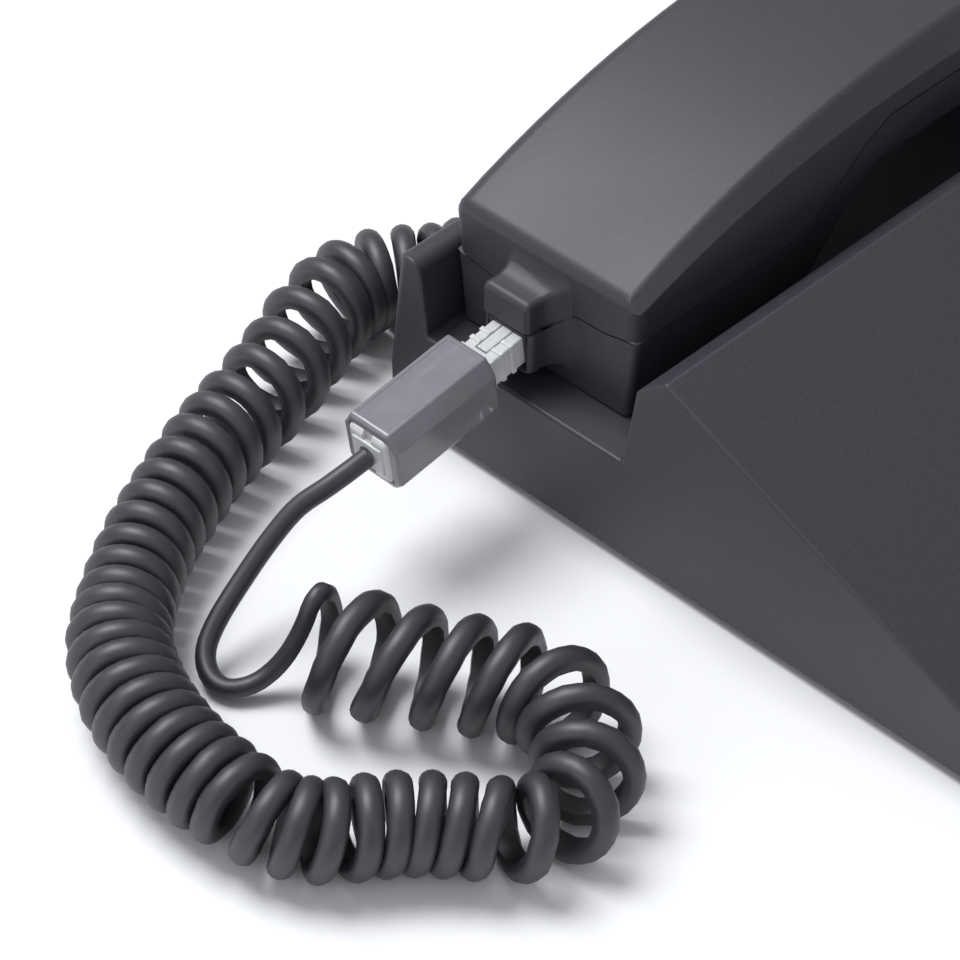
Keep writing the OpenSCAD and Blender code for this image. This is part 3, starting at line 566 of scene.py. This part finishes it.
# %% Round the ends of the housing
# The upright corners at the back and front are round; the other edges round each end are only softened
def on_end(m):
    return abs(abs(m.x) - half_w) < 0.1

round_edges(2.6, lambda m, e: on_end(m) and m.y > 82 and m.z < 40)
round_edges(0.7, lambda m, e: on_end(m) and not (m.y > 82 and m.z < 40) and m.z > 2.2)
bevel_by_weight(housing)
print("housing skin:", len(housing.data.polygons), "faces")

# %% [markdown]
# The moulding is hollow and open underneath. The space inside is drawn the same way, one wall inwards, and
# cut out. Then come the holes: the dial well in the slope, two round ones for the hook plungers and two
# square ones at the back for the sockets.

# %% Hollow the housing
(ridge_y, ridge_z), (lip_y, lip_z) = (11, 50.4), (-80.5, 9)
slope = math.atan2(ridge_z - lip_z, ridge_y - lip_y)
wall = 2.6
def slope_z(y):
    """Height of the underside of the sloping face."""
    return ridge_z - (ridge_y - y) * math.tan(slope) - wall / math.cos(slope)
room = [(-81.9, -5), (81.9, -5), (81.9, 14.8), (79, 39.8), (77.5, 39.8), (75.6, 22.6), (18.8, 22.6),
        (15.7, 43), (11.4, 46.6), (-79.6, slope_z(-79.6)), (-81.9, 5)]
hollow = draw("hollow", [mm(-half_w + wall, y, z) for y, z in room])
pull(mm(2 * (half_w - wall), 0, 0))
carve(housing, hollow)
print("hollowed, wall", wall, "mm")

# %% Cut its openings
dial_middle = Vector((0, -34.75, 29.7))
face_up = Vector((0, -math.sin(slope), math.cos(slope)))
well = dial_middle + 2 * face_up
carve(housing, rod_tool("dial_well", well, 36, 20, -face_up, sides=96))
plunger_x, plunger_y = 66, 51.3
for x in (-plunger_x, plunger_x):
    carve(housing, rod_tool("plunger_hole", (x, plunger_y, 25.2), 5.15, 8, (0, 0, -1), mouth=0.4))
cord_socket_x, line_socket_x = 40, 64
for x in (cord_socket_x, line_socket_x):
    carve(housing, box_tool("socket_hole", (x - 6.5, 70, -1), (x + 6.5, 87, 17.4)))
print("openings: 1 dial well, 2 plungers, 2 sockets")

# %% Stand the screw bosses inside
for x in (-100, 100):
    for y, top in ((-58.5, slope_z(-58.5) + 0.6), (60.5, 23.2)):
        boss = rod_tool("screw_boss", (x, y, 4.8), 4, top - 4.8, sides=32)
        carve(boss, rod_tool("bore", (x, y, 4), 1.5, top - 7, sides=24))
        combine(housing, boss, "UNION")
complete(housing, charcoal_abs, "base", "charcoal_abs", "upper_housing")

# %% [markdown]
# ## Handset
# The handset is two shells that meet in a wavy seam. Its top is one long arch from end to end, its ends are
# flat underneath, and the grip between them is lifted clear of the trough. A shell could be sculpted, but its
# front view says almost everything, so that outline is drawn first and then pulled backwards row by row, and
# in each row the arch and the seam are moved to the height they have there.

# %% The handset's curves
reach = 101.3
# Heights in mm, each over the grip and then at the ends
top_mid, top_end = 72.6, 53.4
under_mid, under_end = 48.6, 25.4
seam_mid, seam_end = 57.6, 41.4

def top_z(x):
    """The long arch of the top."""
    return top_mid - (top_mid - top_end) * (abs(x) / reach) ** 2.3

def rise(x):
    """0 at the flat ends and 1 over the grip, eased in between."""
    t = min(1, max(0, (57.3 - abs(x)) / 30))
    return t * t * (3 - 2 * t)

def under_z(x):
    return under_end + rise(x) * (under_mid - under_end)

def seam_z(x):
    return seam_end + rise(x) * (seam_mid - seam_end)

def band(x):
    """How far the soft band along the front edge drops: narrow at the ends, wide over the grip."""
    return 2.0 + 4.8 * (1 - (abs(x) / reach) ** 1.5)

columns = [reach * i / 14 for i in range(-14, 15)]
print("arch", round(top_z(0), 1), "mm high at the middle and", round(top_z(reach), 1), "at the ends")

# %% A block between two curves
def curved_block(name, xs, rows):
    """Draws a front outline between two curves, then pulls it back. Each row is (y, lower curve, upper curve)."""
    y, low, high = rows[0]
    loop = [mm(x, y, low(x)) for x in xs] + [mm(x, y, high(x)) for x in reversed(xs)]
    piece = draw(name, loop)
    for (y0, low0, high0), (y1, low1, high1) in zip(rows, rows[1:]):
        pull(mm(0, y1 - y0, 0))
        shape = bmesh.from_edit_mesh(piece.data)
        ends = {}
        for v in shape.verts:
            if v.select:
                ends.setdefault(round(v.co.x / MM, 2), []).append(v)
        moves = {}
        for x, pair in ends.items():
            pair.sort(key=lambda v: v.co.z)
            for v, target in zip(pair, (low1(x), high1(x))):
                moves.setdefault(round(target - v.co.z / MM, 3), []).append(v.index)
        for rise_by, indices in moves.items():
            if rise_by:
                shift((0, 0, rise_by), lambda m, v: v.index in set(indices))
        pick("FACE", lambda m, f: abs(m.y - y1) < 0.01 and all(abs(v.co.y / MM - y1) < 0.01 for v in f.verts))
    return piece

# %% Upper shell
# How far the seam lies above its middle line, from the front of the handset to the back
seam_wave = [(26.6, 3.0), (30, 2.5), (35, 1.4), (41, 1.2), (44.5, 0.6), (48.6, -2.5), (60, -2.5), (66, -1.2),
             (76, -0.1)]
front_y, rear_y = seam_wave[0][0], seam_wave[-1][0]

def seam_row(lift, gap):
    return lambda x: seam_z(x) + lift + gap

upper = curved_block("handset_upper_shell", columns, [
    (y, seam_row(lift, 0.08), (lambda x: top_z(x) - band(x)) if y == front_y else top_z)
    for y, lift in seam_wave])
shift((0, -1.4, 0), lambda m, v: abs(m.y - rear_y) < 0.1 and m.z < seam_z(m.x) + 1)
print("upper shell rows:", len(seam_wave))

# %% Round the upper shell
def at_end(m):
    return abs(abs(m.x) - reach) < 0.1

round_edges(4.0, lambda m, e: m.y > 75.9 and m.z > top_z(m.x) - 0.6)
round_edges(3.6, lambda m, e: at_end(m) and m.z > top_z(m.x) - 0.2 and m.y > 30)
round_edges(3.0, lambda m, e: at_end(m) and (m.y < 26.7 or m.y > 75) and m.z < top_z(m.x) - 2)
round_edges(2.0, lambda m, e: abs(m.y - 30) < 0.1 and m.z > top_z(m.x) - 0.6)
round_edges(1.0, lambda m, e: at_end(m) and 26.7 < m.y < 30 and m.z > 46)
round_edges(0.35, lambda m, e: m.y < 26.7 and m.z > top_z(m.x) - band(m.x) - 0.6)
round_edges(0.3, lambda m, e: m.z < seam_z(m.x) + 3.4 and (at_end(m) or m.y < 26.7 or m.y > 74) and
            max(v.co.z for v in e.verts) / MM < seam_z(m.x) + 6)
bevel_by_weight(upper)
inner_columns = [x * 0.978 for x in columns]
carve(upper, curved_block("core", inner_columns, [
    (y, lambda x: seam_z(x) - 8, lambda x: top_z(x) - 2.4) for y in (29, 36, 73.6)]))
print("upper shell:", len(upper.data.polygons), "faces")

# %% Lower shell
lower = curved_block("handset_lower_shell", columns, [
    (y, under_z, seam_row(lift, -0.08)) for y, lift in seam_wave])
shift((0, 2, 0), lambda m, v: m.y < front_y + 0.1 and m.z < under_z(m.x) + 0.5)
shift((0, -1.6, 0), lambda m, v: m.y > rear_y - 0.1)
shift((0, -1.8, 0), lambda m, v: m.y > 74 and m.z < under_z(m.x) + 0.5)
round_edges(3.0, lambda m, e: at_end(m) and (m.y < 28 or m.y > 73) and under_z(m.x) + 2 < m.z < seam_z(m.x) - 1)
round_edges(1.4, lambda m, e: (m.y < 28.7 or m.y > 72) and m.z < under_z(m.x) + 0.5)
round_edges(1.2, lambda m, e: at_end(m) and 28.7 < m.y < 72 and m.z < under_z(m.x) + 0.5)
bevel_by_weight(lower)
carve(lower, curved_block("core", inner_columns, [
    (y, lambda x: under_z(x) + 2.4, lambda x: seam_z(x) + 6) for y in (31, 70)]))
print("lower shell:", len(lower.data.polygons), "faces")

# %% [markdown]
# The socket boss on the left end is split by the same seam. Its sides flare out into the end face, so it is
# pulled out of a small rectangle in short steps, each one a little wider than the last.

# %% Socket boss
boss_x, boss_rear = -108.9, 60
swivel_frame = Matrix.Translation(mm(boss_x, 53.3, 34.4)) @ Matrix.Rotation(math.radians(-8), 4, "Y")

def boss_half(name, front, low, high, is_top):
    """The half of the socket boss above or below the seam."""
    boss = draw(name, [mm(boss_x, y, z) for y, z in
                       ((front, low), (boss_rear, low), (boss_rear, high), (front, high))])
    x = boss_x
    seam = low if is_top else high
    # Each step: how far in, then how far the front side and the top have flared there
    for step, side, top in ((3.8, 0, 0), (1.9, -0.9, 0.5), (1.3, -1.6, 1.1), (0.6, -2.6, 2.0), (1.2, 0, 0)):
        pull(mm(step, 0, 0))
        x += step
        shift((0, side, 0), lambda m, v: abs(m.x - x) < 0.02 and m.y < 50)
        if is_top:
            shift((0, 0, top), lambda m, v: abs(m.x - x) < 0.02 and m.z > high - 0.5)
        shift((0, 0, -side * 0.6), lambda m, v: abs(m.x - x) < 0.02 and m.y < 50 and abs(m.z - seam) < 3)
        pick("FACE", lambda m, f: all(abs(v.co.x / MM - x) < 0.02 for v in f.verts))

    def on_rim(m):
        return m.x < boss_x + 0.1 or m.y > boss_rear - 0.1 or m.y < front + 0.1
    if is_top:
        round_edges(2.4, lambda m, e: m.z > high - 0.5 and on_rim(m) and m.x < x - 0.5)
    round_edges(2.0, lambda m, e: m.x < boss_x + 0.1 and low + 1 < m.z < high - 1)
    round_edges(1.2, lambda m, e: not is_top and m.x < -102 and m.z < low + 0.1 and on_rim(m))
    bevel_by_weight(boss)
    return boss

combine(upper, boss_half("boss_top", 47.9, 38.98, 46, True), "UNION")
combine(lower, boss_half("boss_bottom", 47.2, 29, 38.82, False), "UNION")
for shell in (upper, lower):
    socket = box_tool("socket", (-3, -5.1, -4.5), (12.2, 5.1, 4.5))
    socket.data.transform(swivel_frame)
    carve(shell, socket)
print("socket boss joined to both shells")

# %% Cap seats, then place both shells
for x in (-76.3, 76.3):
    carve(lower, rod_tool("cap_seat", (x, 50.6, under_end), 19.65, 6, mouth=0.4))
for x in (-29.3, 29.3):
    carve(lower, rod_tool("screw_hole", (x, 51.3, under_z(x) - 2), 1.6, 12, sides=24))
complete(upper, charcoal_abs, "handset", "charcoal_abs", "handset_upper")
complete(lower, charcoal_abs, "handset", "charcoal_abs", "handset_lower")

# %% [markdown]
# ## Clear and smoke-grey plastic
# The plugs and the swivel are polycarbonate, moulded in polished tools, so they are smooth and shiny, and
# their insides show as pale shapes. Clear plastic this thick is never as empty as window glass: moulding flow
# and tiny scratches catch some light, which a little plain white under the transmission gives.

# %% Make the clear plastics
def polycarbonate(name, colour, haze, roughness, see_through):
    """Moulded polycarbonate, with cloudy flow marks of about 4 mm in its haze."""
    material, place, shader = new_material(name)
    flow = add_node(material, "TexNoise", {"Vector": place, "Scale": 240.0, "Detail": 1.0,
                                                     "Distortion": 0.6})
    tint = add_node(material, "ValToRGB", {"Fac": flow})
    span(tint, colour, haze, 0.35, 0.7)
    scratch = add_node(material, "MapRange", {"Value": flow, "To Min": roughness * 0.6,
                                                        "To Max": roughness * 1.5})
    fill(shader, {"Base Color": tint, "Roughness": scratch,
                  "Transmission Weight": see_through, "IOR": 1.585})
    return material

clear_plastic = polycarbonate("polycarbonate_clear", "#f6f7f9", "#ffffff", 0.06, 0.4)
smoke_plastic = polycarbonate("polycarbonate_smoke", "#a4a3ab", "#a8a7af", 0.15, 0.5)
window_plastic = polycarbonate("polycarbonate_window", "#f4f6f7", "#ffffff", 0.04, 0.95)
print("finishes:", clear_plastic.name, smoke_plastic.name, window_plastic.name)

# %% [markdown]
# ## Swivel
# The swivel lets the cord turn instead of knotting up. It is a smoke-grey block with a flat top, and turns on
# a clear plug that stays in the handset's socket. It is drawn as its end outline and pulled out along its
# length, lying level, and only then turned into the slightly drooping line that it hangs in.

# %% Swivel body
def place_in(piece, frame_of_piece):
    """Moves a piece made at the origin into its own frame of reference."""
    alone(piece)
    piece.matrix_world = frame_of_piece
    bpy.ops.object.transform_apply(location=True, rotation=True)

half = 7.2
end_outline = [(-5.2, -half), (5.2, -half), (half, -5.2), (half, 3.4), (5.0, half), (-5.0, half), (-half, 3.4),
               (-half, -5.2)]
swivel = draw("swivel_block", [mm(-36.5, y, z) for y, z in end_outline])
pull(mm(27, 0, 0))
round_edges(2.2, lambda m, e: abs(m.x + 23) < 1 and m.z < -5)
round_edges(0.5, lambda m, e: abs(m.x + 23) < 1 and m.z > 3)
round_edges(0.9, lambda m, e: abs(m.x + 23) > 10)
bevel_by_weight(swivel, segments=3)
bpy.ops.object.mode_set(mode="EDIT")
pick("FACE", lambda m, f: m.z > half - 0.05 and f.calc_area() > 30 * MM * MM)
bpy.ops.mesh.inset(thickness=0.5 * MM)
bpy.ops.mesh.inset(thickness=0.15 * MM, depth=0.12 * MM)
carve(swivel, rod_tool("turning_room", (0, 0, 0), 3.3, 15, (-1, 0, 0)),
      rod_tool("contact_room", (-11.5, 0, 0), 5.3, 10, (-1, 0, 0)),
      box_tool("plug_room", (-38, -4.05, -3.5), (-22.5, 4.05, 3.5)),
      box_tool("core_room", (-38, -5.3, -5.5), (-33.4, 5.3, 5.3)))
place_in(swivel, swivel_frame)
complete(swivel, smoke_plastic, "swivel", "smoke_polycarbonate", "swivel_body")

# %% Clear core that shows at the block's end
core_block = box_tool("swivel_core", (-37.3, -5.25, -5.45), (-33.45, 5.25, 5.25), bevel=1.3)
carve(core_block, box_tool("plug_gap", (-39, -3.98, -3.42), (-30, 3.98, 3.42)),
      box_tool("core_slot", (-39, -1.2, 3), (-36.3, 1.2, 8)),
      box_tool("core_slot_below", (-39, -1.2, -8), (-36.3, 1.2, -3)))
place_in(core_block, swivel_frame)
complete(core_block, clear_plastic, "swivel", "clear_polycarbonate")

# %% Clear plug that the swivel turns on
stem = box_tool("swivel_stem", (-8.4, -3.95, -3.4), (9, 3.95, 3.4), bevel=0.4)
for x, grow in ((-8.4, 0.35), (-5.6, 0.25), (-2.9, 0.25)):
    rib = box_tool("rib", (x, -3.95 - grow, -3.4 - grow), (x + 1.1, 3.95 + grow, 3.4 + grow), bevel=0.2)
    combine(stem, rib, "UNION")
combine(stem, rod_tool("neck", (-8, 0, 0), 3.2, 5, (-1, 0, 0)), "UNION")
combine(stem, rod_tool("flange", (-11.8, 0, 0), 5, 1.5, (-1, 0, 0)), "UNION")
carve(stem, box_tool("latch_slot", (-6.8, -1.6, 2.2), (6, 1.6, 5)))
combine(stem, box_tool("latch", (-6.4, -1.3, 2.0), (6.4, 1.3, 3.5), bevel=0.3), "UNION")
place_in(stem, swivel_frame)
complete(stem, clear_plastic, "handset", "clear_polycarbonate", "swivel_plug")

# %% [markdown]
# ## Modular plugs on the cord
# Each end of the cord has the same small clear plug: a block with a springy latch, four slots with gold
# contacts, and a crimp that bites the cord. It is modelled once, and the second is a copy with its own mesh.

# %% Model one plug, then copy it
def modular_plug(name):
    """A clear plug that lies along +X, with the cord's end at x = 0."""
    plug = box_tool(name, (0, -3.9, -3.3), (14.2, 3.9, 3.3), bevel=0.35)
    carve(plug, box_tool("crimp", (3, -2.6, 1.9), (6.5, 2.6, 4)),
          rod_tool("cord_hole", (-1, 0, 0), 2.05, 5, (1, 0, 0), sides=32))
    for y in (-2.4, -0.8, 0.8, 2.4):
        carve(plug, box_tool("contact_slot", (10.4, y - 0.3, 0.6), (15, y + 0.3, 4)))
    combine(plug, box_tool("latch_root", (9.2, -1.5, -3.38), (13.6, 1.5, -3.1)), "UNION")
    return plug

first_plug = modular_plug("cord_plug_at_swivel")
alone(first_plug)
bpy.ops.object.duplicate()
second_plug = bpy.context.object
second_plug.name = "cord_plug_at_base"
place_in(first_plug, swivel_frame @ Matrix.Translation(mm(-37.7, 0, 0)))
place_in(second_plug, Matrix.Translation(mm(*tail_route[-1])) @ Matrix.Rotation(math.radians(-90), 4, "Z"))
complete(first_plug, clear_plastic, "swivel", "clear_polycarbonate", "cord_plug_swivel")
complete(second_plug, clear_plastic, "base", "clear_polycarbonate", "cord_plug_base")

# %% [markdown]
# On the real telephone the cord is one length of flat tinsel lead, with a plug crimped on each end, and only
# its middle is wound.

# %% [markdown]
# ## Dial
# The dial sits square on the slope, so its parts are made flat at the origin and placed in the slope's own
# frame. Its ring is a lathe shape, so half of its section is drawn as a loop and spun once round the axis. A
# torus primitive would only give a round section, without the flat seat that holds the number plate.

# %% Trim ring
face_frame = Matrix.Translation(dial_middle * MM) @ Matrix.Rotation(slope, 4, "X")

def lathe(name, section, steps=128):
    """Spins a closed section, given as (radius, height), once round the Z axis."""
    piece = draw(name, [mm(r, 0, z) for r, z in section])
    bpy.ops.mesh.delete(type="ONLY_FACE")
    bpy.ops.mesh.select_all(action="SELECT")
    bpy.ops.mesh.spin(steps=steps, angle=2 * math.pi, center=(0, 0, 0), axis=(0, 0, 1), use_auto_merge=True)
    bpy.ops.mesh.select_all(action="SELECT")
    bpy.ops.mesh.remove_doubles(threshold=0.01 * MM)
    bpy.ops.mesh.normals_make_consistent(inside=False)
    bpy.ops.object.mode_set(mode="OBJECT")
    return piece

ring = lathe("dial_trim_ring", [
    (38.8, 1.85), (40.65, 1.85), (40.65, 0.02), (43, 0.02), (43, 2.7), (42.8, 3.4), (42.3, 3.95), (41.6, 4.3),
    (40.8, 4.4), (39.4, 4.4), (39, 4.3), (38.8, 4)])
place_in(ring, face_frame)
complete(ring, black_abs, "base", "black_gloss", "dial_bezel")

# %% [markdown]
# The number plate is stove-enamelled steel: a hard, smooth, slightly warm white with a faint orange-peel
# ripple about a millimetre across. The numbers are printed on it where each finger hole rests, counted
# anticlockwise.

# %% Number plate and its numbers
def enamel(name, colour, shade):
    material, place, shader = new_material(name)
    peel = add_node(material, "TexNoise", {"Vector": place, "Scale": 900.0, "Detail": 1.0})
    tint = add_node(material, "ValToRGB", {"Fac": peel})
    span(tint, shade, colour)
    bump = add_node(material, "Bump", {"Height": peel, "Strength": 0.15,
                                                 "Distance": 0.02 * MM})
    fill(shader, {"Base Color": tint, "Normal": bump, "Roughness": 0.18,
                  "Coat Weight": 0.4})
    return material

plate_enamel = enamel("stove_enamel_white", "#eeece4", "#e2e0d7")
plate = lathe("dial_number_plate", [
    (4, 0.05), (40.3, 0.05), (40.5, 0.3), (40.5, 1.55), (40.3, 1.8), (4.2, 1.8), (4, 1.6)])
place_in(plate, face_frame)
complete(plate, plate_enamel, "base", "number_enamel", "number_plate")

printing_ink = moulded("printing_ink_black", "#101013", "#1a1a1e", 0.5, 0.3, 0.004)
hole_ring, hole_step = 28.6, 30
for i in range(10):
    angle = math.radians(hole_step * i)
    fresh()
    bpy.ops.object.text_add()
    number = bpy.context.object
    number.data.body = str((i + 1) % 10)
    number.data.size = 8.4 * MM
    number.data.extrude = 0.03 * MM
    number.data.align_x, number.data.align_y = "CENTER", "CENTER"
    number.name = "dial_number_" + number.data.body
    bpy.ops.object.convert(target="MESH")
    spot = Matrix.Translation(mm(hole_ring * math.cos(angle), hole_ring * math.sin(angle), 1.84))
    place_in(bpy.context.object, face_frame @ spot)
    complete(bpy.context.object, printing_ink, "base", "number_enamel")

# %% Finger wheel
wheel = lathe("dial_finger_wheel", [
    (3.02, 2.3), (7, 2.3), (7, 4.6), (37.4, 4.6), (38, 5), (38, 6.1), (37.5, 6.6), (15.6, 6.6), (15, 7.1), (15, 8),
    (14.6, 8.4), (13.3, 8.4), (13, 8.1), (13, 6.6), (3.02, 6.6)])
holes = rod_tool("finger_holes", (hole_ring, 0, 6.7), 6.8, 4, (0, 0, -1), mouth=0.5, sides=48)
alone(holes, edit=True)
for i in range(9):
    bpy.ops.mesh.duplicate()
    bpy.ops.transform.rotate(value=math.radians(-hole_step), orient_axis="Z", center_override=(0, 0, 0))
carve(wheel, holes)
place_in(wheel, face_frame)
complete(wheel, black_abs, "dial", "black_gloss", "finger_wheel")

# %% Card window
def close_middle(piece, *heights):
    """Merges the small ring of points round the axis at each height, in mm, into one point."""
    alone(piece, edit=True)
    for height in heights:
        pick("VERT", lambda m, v: m.xy.length < 0.1 and abs(m.z - height) < 0.02)
        bpy.ops.mesh.merge(type="CENTER")

window = lathe("dial_card_window", [
    (0.05, 7.12), (12.7, 7.12), (12.85, 7.3), (12.85, 7.8), (12.4, 8.05), (8, 8.15), (0.05, 8.2)], steps=96)
close_middle(window, 7.12, 8.2)
place_in(window, face_frame)
complete(window, window_plastic, "dial", "clear_window", "card_window")

# %% [markdown]
# The finger stop is a bent strip of chromed steel that reaches over the wheel. Its side view is drawn and
# pulled across its width, then its edges are softened as a press and a polishing wheel would leave them.

# %% Bright metals
def metal(name, colour, roughness, grain_mm, stretch, depth_mm=0.01):
    """A metal with grain lines of a given width, drawn out along X by stretch."""
    material, place, shader = new_material(name)
    along = add_node(material, "Mapping", {"Vector": place, "Scale": (1 / stretch, 1, 1)})
    grain = add_node(material, "TexNoise", {"Vector": along, "Detail": 3.0,
                                                      "Scale": 1 / (grain_mm * MM)})
    gloss = add_node(material, "MapRange", {"Value": grain, "To Min": roughness * 0.75,
                                                      "To Max": roughness * 1.3})
    bump = add_node(material, "Bump", {"Height": grain, "Strength": 0.25,
                                                 "Distance": depth_mm * MM})
    fill(shader, {"Roughness": gloss, "Normal": bump,
                  "Base Color": linear(colour), "Metallic": 1.0})
    return material

chrome = metal("steel_chrome_plated", "#e3e5e8", 0.08, 0.5, 4, 0.002)
stop_outline = [(22.8, 7.55), (40.4, 7.55), (40.4, 4.42), (42, 4.42), (42, 7.6), (41, 8.9), (23.4, 8.9),
                (22.8, 8.5)]
stop_width = 4.4
stop = draw("dial_finger_stop", [mm(r, -stop_width / 2, z) for r, z in stop_outline])
pull(mm(0, stop_width, 0))
bpy.ops.mesh.select_all(action="SELECT")
bpy.ops.mesh.bevel(offset=0.35 * MM, segments=3, affect="EDGES")
place_in(stop, face_frame @ Matrix.Rotation(math.radians(-60), 4, "Z"))
complete(stop, chrome, "base", "chrome_stop", "finger_stop")

# %% [markdown]
# ## Plungers and feet
# Two round plungers stand up through the trough, and the lifted handset lets them rise. Their tops are
# slightly domed so that the handset slides on. The feet are soft rubber buttons with a ring pressed into them
# for grip.

# %% Plungers
for x, node in ((-plunger_x, "plunger_left"), (plunger_x, "plunger_right")):
    low, high = (v[2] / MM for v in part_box(node))
    plunger = lathe("hook_" + node, [
        (0.05, low), (5, low), (5, high - 1.2), (4.8, high - 0.7), (4.3, high - 0.3), (3.4, high - 0.08),
        (0.05, high)], steps=64)
    close_middle(plunger, low, high)
    place_in(plunger, Matrix.Translation(mm(x, plunger_y, 0)))
    complete(plunger, black_abs, "hook", "black_gloss", node)

# %% Feet
rubber = moulded("rubber_black_soft", "#141414", "#1d1d1e", 0.75, 0.5, 0.05)
foot = lathe("foot", [
    (1.5, 0.5), (4.2, 0.5), (4.5, 0.3), (4.8, 0.02), (6.4, 0.02), (6.85, 0.3), (7, 0.8), (7, 2.08),
    (1.5, 2.08)], steps=48)
feet = []
for x in (-85, 85):
    for y in (-62.5, 62.5):
        alone(foot)
        bpy.ops.object.duplicate()
        feet.append(bpy.context.object)
        place_in(feet[-1], Matrix.Translation(mm(x, y, 0)))
bpy.data.objects.remove(foot)
alone(feet[0])
for copy in feet:
    copy.select_set(True)
bpy.ops.object.join()
feet[0].name = "rubber_feet"
complete(feet[0], rubber, "base", "black_rubber", "feet")

# %% [markdown]
# ## Finishes for the parts inside
# Everything else keeps its CAD shape: the dial's gears and plates, the ringer, the circuit board and the
# coils. They are seen only when the case is opened, but each is a real material, so each gets a finish.

# %% Make the remaining finishes
inside = [
    (moulded("base_abs_black", "#1b1b1e", "#242428", 0.55, 0.4, 0.04), ["base_plate"]),
    (moulded("cap_abs_black", "#1c1c1f", "#26262a", 0.42, 0.35, 0.03), ["ear_cap", "mouth_cap"]),
    (metal("zinc_plated_screw", "#b9bcc0", 0.3, 0.3, 1), ["housing_screws", "handset_screws"]),
    (metal("steel_plated_sheet", "#a9adb3", 0.28, 0.25, 8),
     ["dial_frame", "dial_rear_plate", "spring_cup", "governor_cup", "dial_shaft", "idler_shaft",
      "governor_shaft", "hook_bar", "gong_posts", "ringer_frame", "clapper"]),
    (metal("steel_spring_tempered", "#59616c", 0.25, 0.2, 6), ["return_spring", "hook_spring"]),
    (metal("nickel_silver_contact", "#b4ab93", 0.2, 0.2, 6), ["pulse_contacts", "hook_contacts"]),
    (metal("brass_cut_gear", "#c9a45a", 0.24, 0.2, 3),
     ["main_gear", "idler_pinion", "idler_gear", "governor_pinion", "governor_weights", "swivel_contacts"]),
    (metal("steel_gong_nickelled", "#c3c5c6", 0.16, 0.4, 3), ["gong_rear", "gong_front"]),
    (moulded("nylon_natural", "#dcd7c6", "#e8e3d3", 0.4, 0.5, 0.01), ["pulse_cam"]),
    (moulded("paper_card_ivory", "#e6dfc9", "#f0ead8", 0.85, 0.25, 0.01), ["dial_card"]),
    (metal("copper_wire_enamelled", "#8c4a2c", 0.3, 0.2, 12), ["ringer_coils", "induction_coil"]),
    (moulded("board_glass_epoxy", "#23563a", "#2c6746", 0.35, 0.8, 0.02), ["circuit_board"]),
    (moulded("capacitor_resin", "#b89b52", "#c6aa62", 0.35, 0.6, 0.01), ["capacitor"]),
    (moulded("socket_nylon_black", "#0e0e10", "#18181b", 0.45, 0.4, 0.02),
     ["base_cord_jack", "line_jack", "handset_jack"]),
    (metal("cast_iron_ballast", "#4a4b4e", 0.6, 0.8, 1, 0.1), ["ballast_weight"]),
    (metal("aluminium_spun_capsule", "#c7c9cb", 0.3, 0.3, 5), ["receiver_capsule", "transmitter_capsule"]),
]
for finish, nodes in inside:
    for node in nodes:
        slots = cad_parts[node].material_slots
        for slot in slots:
            slot.material = finish
        if not slots:
            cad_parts[node].data.materials.append(finish)
print("finished inside:", sum(len(nodes) for finish, nodes in inside), "nodes")
